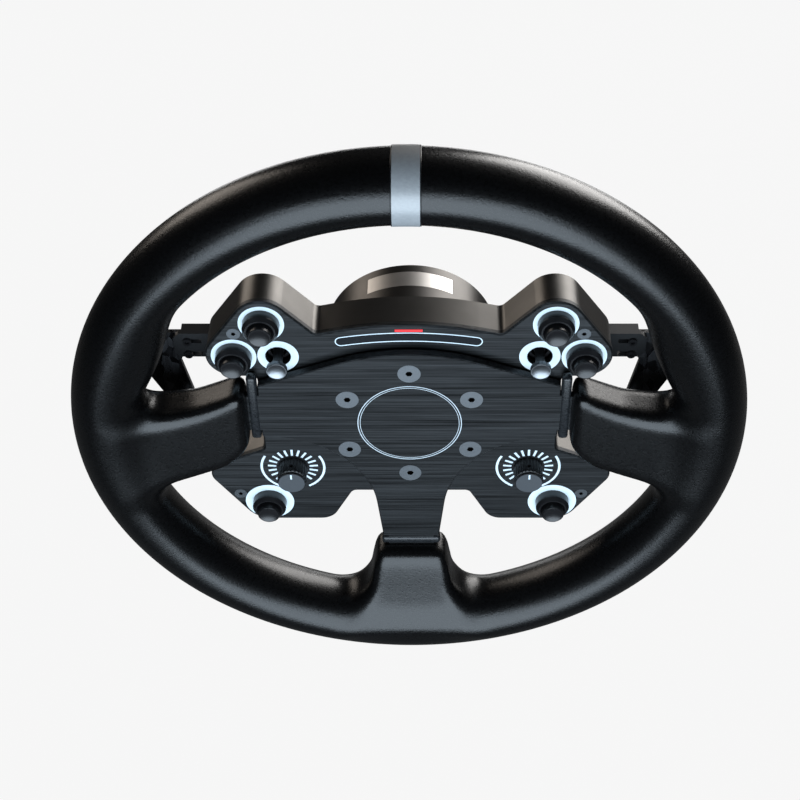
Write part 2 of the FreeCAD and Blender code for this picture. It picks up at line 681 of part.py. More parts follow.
def panel_outline(inset=0.0):
    lobe = get("lobe_radius")
    foot = get("foot_radius")
    notch = get("notch_side")
    arch = get("panel_arch")
    low = get("panel_foot")
    reach = get("wing_reach")
    turn = get("notch_radius")
    wing = get("wing_radius")
    half = [(0, get("panel_top - panel_top_arc"), get("panel_top_arc"), 1),
            (get("valley_side"), get("valley_rise"), get("valley_radius"), -1),
            (get("upper_button_side"), get("upper_button_rise"), lobe, 1),
            (get("outer_button_side"), get("outer_button_rise"), lobe, 1),
            (notch + turn, get("outer_button_rise") - lobe - turn, turn, -1),
            (notch + turn, -get("notch_drop"), turn, -1),
            (reach - wing, -get("wing_drop"), wing, 1),
            (get("lower_button_side"), -get("lower_button_drop"), foot, 1),
            (reach - get("heel_inset"), wing - low, wing, 1),
            (get("arch_side"), -arch - get("arch_radius"), get("arch_radius"), -1)]
    return belt(both(half), inset)


def lamp_outline(grow=0.0):
    """The curved slot: two arcs about a point far below, with round ends."""
    arc = get("lamp_arc")
    half_height = get("lamp_half_height") + grow
    centre = Vector(0, 0, get("lamp_rise") - arc)
    spread = (get("lamp_half_length - lamp_half_height")) / arc

    def at(radius, angle):
        return centre + Vector(radius * math.sin(angle), 0, radius * math.cos(angle))

    end = spread + half_height / arc
    edges = [Part.Arc(at(arc + half_height, -spread), at(arc + half_height, 0),
                      at(arc + half_height, spread)),
             Part.Arc(at(arc + half_height, spread), at(arc, end), at(arc - half_height, spread)),
             Part.Arc(at(arc - half_height, spread), at(arc - half_height, 0),
                      at(arc - half_height, -spread)),
             Part.Arc(at(arc - half_height, -spread), at(arc, -end), at(arc + half_height, -spread))]
    return Part.Wire([edge.toShape() for edge in edges])


front = get("panel_front")
back = get("panel_back")
gap = get("slip_gap")
openings = [rod(0, 0, get("spacer_radius + soft_gap"), front - 1, back + 1),
            slab(lamp_outline(gap), front - 1, back + 1)]
ring_seat = front + get("ring_thick - ring_proud")
rings = []


def light_ring(x, z, outer, inner):
    """A flat ring let into the panel, and its seat."""
    ring = rod(x, z, outer, front - get("ring_proud"), ring_seat)
    rings.append(ring.cut(rod(x, z, inner, front - 1, back)))
    openings.append(rod(x, z, outer + gap, front - 1, ring_seat).cut(
        rod(x, z, inner - gap, front - 1, back)))


for name, (across, rise_word) in button_places.items():
    x, z = get(across), get(rise_word)
    openings.append(rod(x, z, get("barrel_radius") + gap, front - 1, back + 1))
    light_ring(x, z, get("lower_ring" if name.startswith("lower") else "button_ring"),
               get("bezel_base") + gap)
for sign in (-1, 1):
    x, z = sign * get("stick_side"), get("stick_rise")
    openings.append(rod(x, z, get("stick_opening"), front - 1, back + 1))
    light_ring(x, z, get("stick_ring"), get("stick_opening") + 2 * gap)
    openings.append(rod(sign * get("knob_side"), -get("knob_drop"), get("bushing_radius") + gap,
                        front - 1, back + 1))
head = get("panel_screw_head")
shank = get("panel_screw_radius")
for x, z in panel_screws:
    openings.append(cone(x, z, head + gap, shank + gap, front, front + head - shank))
    openings.append(rod(x, z, shank + gap, front - 1, back + 1))

def centre_mark(clearance=0.0):
    half_length = get("mark_half") + clearance
    half_height = get("mark_height") / 2 + clearance
    rise = get("mark_rise")
    start = front - get("mark_proud") - clearance
    return block((-half_length, half_length), (start, front + get("mark_thick - mark_proud")),
                 (rise - half_height, rise + half_height))


openings.append(centre_mark(gap))
panel = slab(panel_outline(), front, back)
panel = panel.makeChamfer(get("panel_edge"), front_edges(panel, front))
shape_node("face_panel", panel.cut(openings))
shape_node("centre_mark", centre_mark())
group_node("light_rings", rings)

screws = []
for x, z in panel_screws:
    screw = cone(x, z, head, shank, front, front + head - shank).fuse(
        rod(x, z, shank, front + head - shank, back + get("panel_screw_reach")))
    screws.append(screw.cut(hexagon(x, z, get("small_key"), front,
                                    front + get("small_key_depth"))))
group_node("panel_screws", screws)

shell_back = get("shell_back")
shell_floor = get("shell_floor")
shell = slab(panel_outline(get("shell_inset")), back, shell_back)
shell = shell.makeChamfer(get("shell_edge"), front_edges(shell, shell_back))
shell = shell.cut(slab(panel_outline(get("shell_inset + shell_wall")), back - 1, shell_floor))
post_side = get("board_edge + post_inset")
board_posts = [(sign * post_side, z) for sign in (-1, 1)
               for z in (get("post_rise"), 0, -get("post_drop"))]
posts = [rod(x, z, get("boss_radius"), back, shell_floor + 1) for x, z in panel_screws]
posts += [rod(x, z, get("post_radius"), get("board_back"), shell_floor + 1)
          for x, z in board_posts]
shell = shell.fuse(posts)
holes = [rod(x, z, shank, back - 1, back + get("panel_screw_reach") + 1) for x, z in panel_screws]
holes += [rod(x, z, get("screw_radius") + gap, shell_floor - 1, shell_back + 1)
          for x, z in wheel_screws]
holes.append(rod(0, 0, get("spacer_bore"), shell_floor - 1, shell_back + 1))
shape_node("rear_shell", shell.cut(holes).removeSplitter())

spacer = turned("hub_spacer", [("spacer_bore", "0"), ("spacer_radius", "0"),
                               ("spacer_radius", "shell_floor - plate_back"),
                               ("spacer_bore", "shell_floor - plate_back")], y="plate_back")
doc.recompute()
bore = sketch_on(spacer, "spacer_hole", "XZ_Plane")
number = bore.addGeometry(Part.Circle(Vector(get("screw_ring"), 0, 0), Vector(0, 0, 1),
                                      get("screw_radius + slip_gap")), False)
for kind, expression in (("Radius", "screw_radius + slip_gap"), ("DistanceX", "screw_ring")):
    value = get(expression)
    if kind == "Radius":
        index = bore.addConstraint(Sketcher.Constraint(kind, number, value))
    else:
        index = bore.addConstraint(Sketcher.Constraint(kind, -1, 1, number, 3, value))
    bore.setExpression(f"Constraints[{index}]", sheet_words(expression))
bore.addConstraint(Sketcher.Constraint("PointOnObject", number, 3, -1))
drill = spacer.newObject("PartDesign::Pocket", "spacer_drill")
drill.Profile = bore
drill.Type = 1
drill.Midplane = True
ring_of_holes = spacer.newObject("PartDesign::PolarPattern", "spacer_holes")
ring_of_holes.Originals = [drill]
ring_of_holes.Axis = (plane_of(spacer, "Y_Axis"), [""])
ring_of_holes.Angle = 360
ring_of_holes.Occurrences = 6
spacer.Tip = ring_of_holes
spacer.Placement.Rotation = FreeCAD.Rotation(Vector(0, 1, 0), 30)
keep("hub_spacer", spacer)


# ---- boards and rev lights -------------------------------------------------------------------

board_front = get("board_front")
board_back = get("board_back")
board_blank = slab(panel_outline(get("shell_inset + shell_wall + board_gap")), board_front,
                   board_back)
far = get("rim_diameter") / 2
right_board = board_blank.common(block((get("board_edge"), far), (board_front, board_back),
                                       (-far, far)))
right_board = right_board.cut([rod(x, z, get("boss_radius + soft_gap"), board_front - 1,
                                   board_back + 1)
                               for x, z in panel_screws])
shape_node("control_board_right", right_board)
shape_node("control_board_left", mirrored(right_board))

lens = slab(lamp_outline(), front, front + get("lens_thick"))
shape_node("rev_light_lens", lens)
lamp_board = slab(lamp_outline(get("lamp_board_margin")), back, back + get("board_thick"))
shape_node("rev_light_board", lamp_board)
lamps = []
lamp_count = int(get("lamp_count"))
for index in range(lamp_count):
    x = (index - (lamp_count - 1) / 2) * get("lamp_pitch")
    drop = get("lamp_arc") - math.sqrt(get("lamp_arc") ** 2 - x ** 2)
    z = get("lamp_rise") - drop
    half_length = get("lamp_length") / 2
    half_height = get("lamp_height") / 2
    lamps.append(block((x - half_length, x + half_length), (front + get("lens_thick"), back),
                       (z - half_height, z + half_height)))
group_node("rev_lights", lamps)


# ---- buttons ---------------------------------------------------------------------------------

bezels = []
nuts = []
switches = []
bezel = turned("bezel_form", [("cap_radius + 2 * slip_gap", "-bezel_proud + bezel_lip"),
                              ("bezel_mouth - bezel_lip", "-bezel_proud"),
                              ("bezel_mouth", "-bezel_proud"), ("bezel_base", "-bezel_shoulder"),
                              ("bezel_base", "0"), ("barrel_radius", "0"),
                              ("barrel_radius", "panel_thick + barrel_length"),
                              ("stem_radius + 2 * slip_gap", "panel_thick + barrel_length"),
                              ("stem_radius + 2 * slip_gap", "panel_thick"),
                              ("cap_radius + 2 * slip_gap", "panel_thick")])
doc.recompute()
switch_half = get("button_switch") / 2
for name, (across, rise_word) in button_places.items():
    x, z = get(across), get(rise_word)
    bezels.append(bezel.Shape.translated(Vector(x, front, z)))
    nut = hexagon(x, z, get("nut_flats"), back, back + get("nut_thick"))
    nuts.append(nut.cut(rod(x, z, get("barrel_radius"), back - 1, back + get("nut_thick") + 1)))
    switches.append(block((x - switch_half, x + switch_half),
                          (back + get("barrel_length"), board_front),
                          (z - switch_half, z + switch_half)))
    cap = turned(f"cap_{name}", [("0", "-cap_proud"), ("cap_radius - cap_round", "-cap_proud"),
                                 ("cap_radius", "-cap_proud + cap_round"),
                                 ("cap_radius", "panel_thick - cap_travel - 2 * slip_gap"),
                                 ("stem_radius", "panel_thick - cap_travel - 2 * slip_gap"),
                                 ("stem_radius", "panel_thick + barrel_length - cap_travel"),
                                 ("0", "panel_thick + barrel_length - cap_travel")],
                 across, "panel_front", rise_word)
    hollow(cap, "cap_hollow", "-cap_proud + cap_dish - cap_hollow")
    keep(f"cap_{name}", cap)
group_node("button_bezels", bezels)
group_node("button_nuts", nuts)
group_node("button_switches", switches)


# ---- rotary knobs ----------------------------------------------------------------------------

encoder_bodies = []
encoder_nuts = []
half = get("encoder_side") / 2
for side, sign in (("left", -1), ("right", 1)):
    x, z = sign * get("knob_side"), -get("knob_drop")
    bushing = rod(x, z, get("bushing_radius"), front - get("bushing_proud"), back)
    body = block((x - half, x + half), (back, board_front), (z - half, z + half))
    encoder_bodies.append(body.fuse(bushing).cut(
        rod(x, z, get("shaft_radius") + gap, front - get("knob_proud"),
            back + get("shaft_tail + soft_gap"))))
    nut_front = front - get("encoder_nut_thick")
    nut = hexagon(x, z, get("encoder_nut_flats"), nut_front, front)
    encoder_nuts.append(nut.cut(rod(x, z, get("bushing_radius"), nut_front - 1, front + 1)))
    shaft = turned(f"encoder_shaft_{side}",
                   [("0", "-knob_proud + knob_roof"), ("shaft_radius", "-knob_proud + knob_roof"),
                    ("shaft_radius", "panel_thick + shaft_tail"), ("0", "panel_thick + shaft_tail")],
                   f"{sign} * knob_side", "panel_front", "-knob_drop")
    keep(f"encoder_shaft_{side}", shaft)
    knob = turned(f"knob_{side}",
                  [("0", "-knob_proud"), ("knob_face", "-knob_proud"),
                   ("knob_face + knob_edge", "-knob_proud + knob_edge"),
                   ("knob_face + knob_edge", "-knob_skirt - knob_edge"),
                   ("knob_radius", "-knob_skirt"), ("knob_radius", "-knob_gap"),
                   ("knob_hollow", "-knob_gap"), ("knob_hollow", "-bushing_proud - soft_gap"),
                   ("shaft_radius", "-bushing_proud - soft_gap"),
                   ("shaft_radius", "-knob_proud + knob_roof"), ("0", "-knob_proud + knob_roof")],
                  f"{sign} * knob_side", "panel_front", "-knob_drop")
    doc.recompute()
    flute = sketch_on(knob, f"flute_{side}", "XZ_Plane")
    flute_at = get("knob_radius + flute_offset")
    number = flute.addGeometry(Part.Circle(Vector(flute_at, 0, 0), Vector(0, 0, 1),
                                           get("flute_radius")), False)
    for kind, expression in (("DistanceX", "knob_radius + flute_offset"),
                             ("Radius", "flute_radius")):
        ends = (-1, 1, number, 3) if kind == "DistanceX" else (number,)
        index = flute.addConstraint(Sketcher.Constraint(kind, *ends, get(expression)))
        flute.setExpression(f"Constraints[{index}]", sheet_words(expression))
    flute.addConstraint(Sketcher.Constraint("PointOnObject", number, 3, -1))
    groove = knob.newObject("PartDesign::Pocket", f"groove_{side}")
    groove.Profile = flute
    groove.Type = 1
    groove.Midplane = True
    grip_grooves = knob.newObject("PartDesign::PolarPattern", f"grooves_{side}")
    grip_grooves.Originals = [groove]
    grip_grooves.Axis = (plane_of(knob, "Y_Axis"), [""])
    grip_grooves.Angle = 360
    bind(grip_grooves, "Occurrences", "knob_teeth")
    knob.Tip = grip_grooves
    set_screw = knob.newObject("PartDesign::SubtractiveCylinder", f"set_screw_{side}")
    bind(set_screw, "Radius", "knob_screw_radius")
    bind(set_screw, "Height", "knob_radius + 1")
    bind(set_screw, "Placement.Base.y", "-knob_screw")
    knob.Tip = set_screw
    keep(f"knob_{side}", knob)
group_node("encoder_bodies", encoder_bodies)
group_node("encoder_nuts", encoder_nuts)


# ---- thumb sticks ----------------------------------------------------------------------------

pivot = get("stick_pivot_at")
pin = get("pivot_radius")
stick_bases = []
for side, sign in (("left", -1), ("right", 1)):
    x, z = sign * get("stick_side"), get("stick_rise")
    base = rod(x, z, get("base_outer"), back, board_front)
    base = base.cut(rod(x, z, get("base_inner"), back - 1, board_front - 1))
    pin_hole = Part.makeCylinder(pin + gap, 2 * get("base_outer") + 2,
                                 Vector(x - get("base_outer") - 1, pivot, z), Vector(1, 0, 0))
    stick_bases.append(base.cut(pin_hole))
    thick = get("gimbal_thick") / 2
    ring = rod(x, z, get("gimbal_outer"), pivot - thick, pivot + thick)
    pin_reach = get("base_inner + base_outer") / 2
    pins = Part.makeCylinder(pin, 2 * pin_reach, Vector(x - pin_reach, pivot, z), Vector(1, 0, 0))
    inside = rod(x, z, get("gimbal_inner"), pivot - 2 * thick, pivot + 2 * thick)
    cross_hole = Part.makeCylinder(pin + gap, 2 * get("gimbal_outer") + 2,
                                   Vector(x, pivot, z - get("gimbal_outer") - 1), Vector(0, 0, 1))
    shape_node(f"gimbal_{side}", ring.fuse(pins).cut([inside, cross_hole]))
    neck = turned(f"stick_neck_{side}",
                  [("0", "-stick_proud + stick_cap_socket - stick_pivot"),
                   ("stick_neck", "-stick_proud + stick_cap_socket - stick_pivot"),
                   ("stick_neck", "0"), ("0", "0")])
    doc.recompute()
    cross_reach = get("gimbal_inner + gimbal_outer") / 2
    cross = Part.makeCylinder(pin, 2 * cross_reach, Vector(x, pivot, z - cross_reach),
                              Vector(0, 0, 1))
    hub = Part.makeSphere(get("stick_ball"), Vector(x, pivot, z))
    stem = neck.Shape.translated(Vector(x, pivot, z))
    shape_node(f"stick_{side}", hub.fuse([stem, cross]))
    doc.removeObject(neck.Name)
    cap = turned(f"stick_cap_{side}",
                 [("0", "-stick_proud"), ("stick_cap - stick_cap_round", "-stick_proud"),
                  ("stick_cap", "-stick_proud + stick_cap_round"),
                  ("stick_cap", "-stick_proud + stick_cap_thick - stick_cap_flare"),
                  ("stick_neck + soft_gap", "-stick_proud + stick_cap_thick"),
                  ("stick_neck", "-stick_proud + stick_cap_thick"),
                  ("stick_neck", "-stick_proud + stick_cap_socket"),
                  ("0", "-stick_proud + stick_cap_socket")],
                 f"{sign} * stick_side", "panel_front", "stick_rise")
    hollow(cap, "stick_hollow", "-stick_proud + stick_cap_dish - stick_hollow")
    keep(f"stick_cap_{side}", cap)
group_node("stick_bases", stick_bases)


# ---- quick release ---------------------------------------------------------------------------

hub = turned("qr_hub", [("cable_way", "shell_back"), ("flange_radius", "shell_back"),
                        ("flange_radius", "flange_back"), ("barrel_outer", "flange_back"),
                        ("barrel_outer", "-snap_setback - snap_thick"),
                        ("barrel_outer - snap_groove", "-snap_setback - snap_thick"),
                        ("barrel_outer - snap_groove", "-snap_setback"),
                        ("barrel_outer", "-snap_setback"),
                        ("barrel_outer", "0"), ("socket_radius", "0"),
                        ("socket_radius", "-socket_depth"),
                        ("contact_radius + slip_gap", "-socket_depth"),
                        ("contact_radius + slip_gap", "-socket_depth - contact_pocket"),
                        ("cable_way", "-socket_depth - contact_pocket")])
doc.recompute()
hub_shape = hub.Shape
doc.removeObject(hub.Name)
ball_at = -get("ball_setback")
ball = get("ball_radius")
ball_ring = get("socket_radius + ball_radius + ball_gap")
balls = []
ways = []
for index in range(int(get("ball_count"))):
    angle = 2 * math.pi * index / get("ball_count") + math.pi / 6
    out = Vector(math.cos(angle), 0, math.sin(angle))
    balls.append(Part.makeSphere(ball, out * ball_ring + Vector(0, ball_at, 0)))
    ways.append(Part.makeCylinder(ball + gap, get("flange_radius - socket_radius"),
                                  out * (get("socket_radius") - ball / 2) +
                                  Vector(0, ball_at, 0), out))
screw_holes = [rod(x, z, get("screw_radius"), shell_back - 1, get("flange_back") + 1)
               for x, z in wheel_screws]
shape_node("qr_hub", hub_shape.cut(ways + screw_holes))
group_node("qr_balls", balls)

collar = turned("collar_form",
                [("spring_pocket", "0"), ("collar_radius - collar_edge", "0"),
                 ("collar_radius", "collar_edge"), ("collar_radius", "collar_length - collar_edge"),
                 ("collar_radius - collar_edge", "collar_length"),
                 ("barrel_outer + snap_proud + soft_gap", "collar_length"),
                 ("barrel_outer + snap_proud + soft_gap", "collar_length - snap_room"),
                 ("barrel_outer + slip_gap", "collar_length - snap_room"),
                 ("barrel_outer + slip_gap", "collar_length - snap_room - collar_land"),
                 ("barrel_outer + ball_relief", "collar_length - snap_room - collar_land"),
                 ("barrel_outer + ball_relief", "spring_pocket_depth + collar_land"),
                 ("barrel_outer + slip_gap", "spring_pocket_depth + collar_land"),
                 ("barrel_outer + slip_gap", "spring_pocket_depth"),
                 ("spring_pocket", "spring_pocket_depth")], y="collar_front")


def collar_label(clearance=0.0):
    """The curved name plate let into the top of the collar."""
    face = get("collar_radius") - get("slip_gap") + clearance
    floor = get("collar_radius - slip_gap - label_thick")
    half_length = get("label_half") + clearance
    end = -get("label_setback") + clearance
    start = -get("label_setback + label_width") - clearance
    bent = rod(0, 0, face, start, end).cut(rod(0, 0, floor, start - 1, end + 1))
    return bent.common(block((-half_length, half_length), (start, end), (0, face + 1)))


label_seat = doc.addObject("Part::Feature", "label_seat")
label_seat.Shape = collar_label(2 * get("slip_gap"))
qr_collar = doc.addObject("Part::Cut", "qr_collar")
qr_collar.Base = collar
qr_collar.Tool = label_seat
keep("qr_collar", qr_collar)
shape_node("collar_label", collar_label())
snap = turned("qr_snap_ring", [("barrel_outer - snap_groove", "-snap_setback - snap_thick"),
                               ("barrel_outer + snap_proud", "-snap_setback - snap_thick"),
                               ("barrel_outer + snap_proud", "-snap_setback"),
                               ("barrel_outer - snap_groove", "-snap_setback")])
keep("qr_snap_ring", snap)


def collar_spring():
    """A flat wire wound between the flange and the collar, in short straight-sided steps."""
    width, height = get("spring_width"), get("spring_height")
    mean = get("barrel_outer + spring_pocket") / 2
    start = get("flange_back") + height / 2
    rise = get("collar_front + spring_pocket_depth") - height / 2 - start
    steps = int(18 * get("spring_turns"))
    wires = []
    for step in range(steps + 1):
        angle = 2 * math.pi * get("spring_turns") * step / steps
        out = Vector(math.cos(angle), 0, math.sin(angle))
        middle = Vector(0, start + rise * step / steps, 0)
        corners = [middle + out * (mean + across * width / 2) + Vector(0, up * height / 2, 0)
                   for across, up in ((-1, -1), (1, -1), (1, 1), (-1, 1))]
        wires.append(Part.makePolygon(corners + corners[:1]))
    return Part.makeLoft(wires, True, True)


shape_node("qr_spring", collar_spring())

pocket_floor = -get("socket_depth + contact_pocket")
contact_face = pocket_floor + get("contact_thick")
contact_plate = rod(0, 0, get("contact_radius"), pocket_floor, contact_face)
circle = get("contact_circle")
contact_pins = [rod(circle * math.cos(angle), circle * math.sin(angle), get("contact_pin_radius"),
                    contact_face, contact_face + get("contact_pin_length"))
                for angle in screw_angles]
shape_node("qr_contact_board", contact_plate.fuse(contact_pins))


# ---- paddles ---------------------------------------------------------------------------------

arm_front = get("arm_front")
arm_back = get("arm_back")
arm_mid = get("arm_mid")
hinge = get("hinge_side")
low, high = get("arm_bottom"), get("arm_top")
bracket_front = shell_back
bracket_back = shell_back + get("bracket_thick")
knuckle_low, knuckle_high = low + get("knuckle_inset"), high - get("knuckle_inset")
pin_radius = get("hinge_radius")
knuckle = get("knuckle_radius")
screw_column = get("blade_inner - slot_inset")
slot_rows = (low + get("slot_low"), low + get("slot_high"))
slot_half = get("slot_half")


def upright(x, y, radius, bottom, top):
    return Part.makeCylinder(radius, top - bottom, Vector(x, y, bottom))


def paddle_arm():
    """The arm with its knuckle, two slots and an edge folded back along its top."""
    arm = block((hinge, get("arm_end")), (arm_front, arm_back), (low, high))
    tips = [edge for edge in arm.Edges if abs(edge.BoundBox.XMin - get("arm_end")) < 1e-6
            and edge.BoundBox.YLength > 1]
    arm = arm.makeChamfer(get("arm_corner"), tips)
    room = (hinge - 2 * knuckle, hinge + 1.5 * knuckle)
    depth = (arm_front - 1, arm_back + 1)
    arm = arm.cut([block(room, depth, (low - 1, knuckle_low)),
                   block(room, depth, (knuckle_high, high + 1))])
    fold = block((room[1], get("flange_end")), (arm_front, arm_back + get("flange_depth")),
                 (high - get("flange_fold"), high))
    arm = arm.fuse([upright(hinge, arm_mid, knuckle, knuckle_low, knuckle_high), fold])
    slots = []
    for z in slot_rows:
        slots.append(block((screw_column - get("slot_length"), screw_column), depth,
                           (z - slot_half, z + slot_half)))
        slots.append(rod(screw_column, z, slot_half, *depth))
    return arm.cut(slots + [upright(hinge, arm_mid, pin_radius + gap, low, high)])


def paddle_blade():
    """A blade that hangs from the arm and narrows to a round tip behind the spoke."""
    inner, outer = get("blade_inner"), get("blade_outer")
    top, drop = get("blade_top"), get("blade_drop")
    corner, shoulder = get("blade_corner"), get("blade_shoulder")
    inside, tip = get("blade_hollow"), get("blade_tip")
    corners = [(screw_column - corner, top - corner, corner, 1),
               (outer - shoulder, top - shoulder, shoulder, 1),
               (inner - tip / 2, tip - drop, tip, 1),
               (inner - slot_half, low - slot_half - inside, inside, -1),
               (screw_column - corner, low + corner / 2, corner / 2, 1)]
    blade = slab(belt(corners), arm_back, arm_back + get("blade_thick"))
    return blade.cut([rod(screw_column, z, slot_half, arm_back - 1, arm_back + get("blade_thick") + 1)
                      for z in slot_rows])


def paddle_bracket():
    margin, ear = get("bracket_margin"), get("ear_margin")
    across = (hinge - get("bracket_half"), hinge + get("bracket_half"))
    base = block(across, (bracket_front, bracket_back), (low - margin, high + margin))
    ears = []
    for bottom, top in ((low - ear, knuckle_low - get("knuckle_gap")),
                        (knuckle_high + get("knuckle_gap"), high + ear)):
        ears.append(upright(hinge, arm_mid, knuckle, bottom, top))
        ears.append(block((hinge - knuckle, hinge + knuckle), (bracket_front, arm_mid),
                          (bottom, top)))
    bracket = base.fuse(ears)
    return bracket.cut([upright(hinge, arm_mid, pin_radius, low - margin, high + margin)])


arm = paddle_arm()
blade = paddle_blade()
bracket = paddle_bracket().removeSplitter()
hinge_pin = upright(hinge, arm_mid, pin_radius, low - get("ear_margin"), high + get("ear_margin"))
switch_x = hinge + get("paddle_switch_side")
switch_z = low + get("paddle_switch_rise")
switch = block((switch_x, switch_x + get("paddle_switch_width")),
               (bracket_back, bracket_back + get("paddle_switch_thick")),
               (switch_z, switch_z + get("paddle_switch_height")))
arm_screws = []
head_front = arm_front - get("blade_screw_rise")
for z in slot_rows:
    head = rod(screw_column, z, get("blade_screw_head"), head_front, arm_front)
    shank = rod(screw_column, z, get("blade_screw"), arm_front, arm_back + get("blade_thick"))
    key = hexagon(screw_column, z, get("small_key"), head_front,
                  head_front + get("small_key_depth"))
    arm_screws.append(head.fuse(shank).cut(key))
for side, turn in (("right", lambda shape: shape), ("left", mirrored)):
    shape_node(f"paddle_arm_{side}", turn(arm))
    shape_node(f"paddle_blade_{side}", turn(blade))
    group_node(f"paddle_screws_{side}", [turn(screw) for screw in arm_screws])
group_node("paddle_brackets", [bracket, mirrored(bracket)])
group_node("paddle_pins", [hinge_pin, mirrored(hinge_pin)])
group_node("paddle_switches", [switch, mirrored(switch)])


# ---- check and write -------------------------------------------------------------------------

doc.recompute()
for item in doc.Objects:
    if "Invalid" in item.State or "Error" in item.State:
        raise RuntimeError(f"{item.Name} did not build: {item.State}")
os.makedirs("parts", exist_ok=True)
for name, item in nodes.items():
    shape = item.Shape
    if shape.isNull() or not shape.isValid() or not shape.Solids:
        raise RuntimeError(f"{name} has no valid shape")
    shape.exportStep(f"parts/{name}.step")
    print(f"{name}: {len(shape.Solids)} solid(s), {shape.Volume / 1000:.2f} cm3")
print(f"{len(nodes)} nodes")
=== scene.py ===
import math

import bmesh
import bpy
import numpy as np
import openvdb
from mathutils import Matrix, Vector


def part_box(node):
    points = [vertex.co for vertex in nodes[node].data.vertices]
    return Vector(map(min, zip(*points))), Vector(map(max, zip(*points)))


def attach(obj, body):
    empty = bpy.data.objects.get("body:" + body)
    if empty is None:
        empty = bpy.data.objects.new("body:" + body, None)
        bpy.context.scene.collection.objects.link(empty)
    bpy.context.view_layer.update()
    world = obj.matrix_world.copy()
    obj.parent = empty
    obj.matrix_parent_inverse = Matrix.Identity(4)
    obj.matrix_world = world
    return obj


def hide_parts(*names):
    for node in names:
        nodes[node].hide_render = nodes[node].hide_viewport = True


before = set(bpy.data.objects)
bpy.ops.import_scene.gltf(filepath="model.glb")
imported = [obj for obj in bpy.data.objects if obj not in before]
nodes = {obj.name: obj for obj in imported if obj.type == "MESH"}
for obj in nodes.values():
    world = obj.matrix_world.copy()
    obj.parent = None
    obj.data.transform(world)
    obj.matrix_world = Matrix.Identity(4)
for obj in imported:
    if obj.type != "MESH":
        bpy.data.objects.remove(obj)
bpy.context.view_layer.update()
mm = 0.001

scene = bpy.context.scene
scene.view_settings.view_transform = "Standard"
print("frame loaded:", len(nodes), "nodes")


def newObject(name, data):
    made = bpy.data.objects.new(name, data)
    scene.collection.objects.link(made)
    return made


# camera

cameraValues = {"place": (0.010726, -0.605886, 0.549265), "tilt": 45.151, "lens": 69.64,
                "sensor": 36, "shift": -0.0392}
cameraData = bpy.data.cameras.new("camera")
cameraData.lens = cameraValues["lens"]
cameraData.sensor_width = cameraValues["sensor"]
cameraData.shift_x = cameraValues["shift"]
camera = newObject("camera", cameraData)
camera.location = cameraValues["place"]
camera.rotation_euler = (math.radians(cameraValues["tilt"]), 0, 0)
scene.camera = camera
print("camera placed")


# node helpers

def newMaterial(name):
    material = bpy.data.materials.new(name)
    material.use_nodes = True
    tree = material.node_tree
    return material, tree, tree.nodes["Principled BSDF"]


def addNode(tree, kind, **values):
    node = tree.nodes.new(kind)
    for key, value in values.items():
        if key in node.inputs:
            node.inputs[key].default_value = value
        else:
            setattr(node, key, value)
    return node


def placeNode(tree, scale, turn=(0, 0, 0)):
    # object coordinates turned by degrees and stretched by scale along each axis
    coords = addNode(tree, "ShaderNodeTexCoord")
    mapping = addNode(tree, "ShaderNodeMapping", Scale=scale)
    mapping.inputs["Rotation"].default_value = [math.radians(angle) for angle in turn]
    tree.links.new(coords.outputs["Object"], mapping.inputs["Vector"])
    return mapping.outputs["Vector"]


def noiseNode(tree, vector, scale, detail=4, rough=0.55):
    node = addNode(tree, "ShaderNodeTexNoise", Scale=scale, Detail=detail, Roughness=rough)
    tree.links.new(vector, node.inputs["Vector"])
    return node.outputs["Fac"]


def rampNode(tree, value, stops):
    ramp = addNode(tree, "ShaderNodeValToRGB")
    elements = ramp.color_ramp.elements
    while len(elements) < len(stops):
        elements.new(0.5)
    for element, (position, color) in zip(elements, stops):
        element.position = position
        element.color = (*color, 1)
    tree.links.new(value, ramp.inputs["Fac"])
    return ramp.outputs["Color"]


def rangeNode(tree, value, low, high, fromLow=0.3, fromHigh=0.7):
    node = addNode(tree, "ShaderNodeMapRange")
    node.inputs["From Min"].default_value = fromLow
    node.inputs["From Max"].default_value = fromHigh
    node.inputs["To Min"].default_value = low
    node.inputs["To Max"].default_value = high
    tree.links.new(value, node.inputs["Value"])
    return node.outputs["Result"]


def bumpNode(tree, height, strength, distance, before=None):
    node = addNode(tree, "ShaderNodeBump", Strength=strength, Distance=distance)
    tree.links.new(height, node.inputs["Height"])
    if before is not None:
        tree.links.new(before, node.inputs["Normal"])
    return node.outputs["Normal"]


# finishes: a bump is a strength and a depth in metres

leatherValues = {"dark": (0.0008, 0.0008, 0.0009), "light": (0.002, 0.002, 0.0022),
                 "rough": (0.26, 0.31), "gloss": 0.4,
                 # pebbles per metre, how far their edges wander, and their bump
                 "grain": 900, "wander": 0.0025, "grainBump": (0.1, 0.00014),
                 # creases per metre along each axis, their turn in degrees, and their bump
                 "crease": (640, 640, 1150), "creaseTurn": (0, 35, 25),
                 "creaseBump": (0.24, 0.0003)}


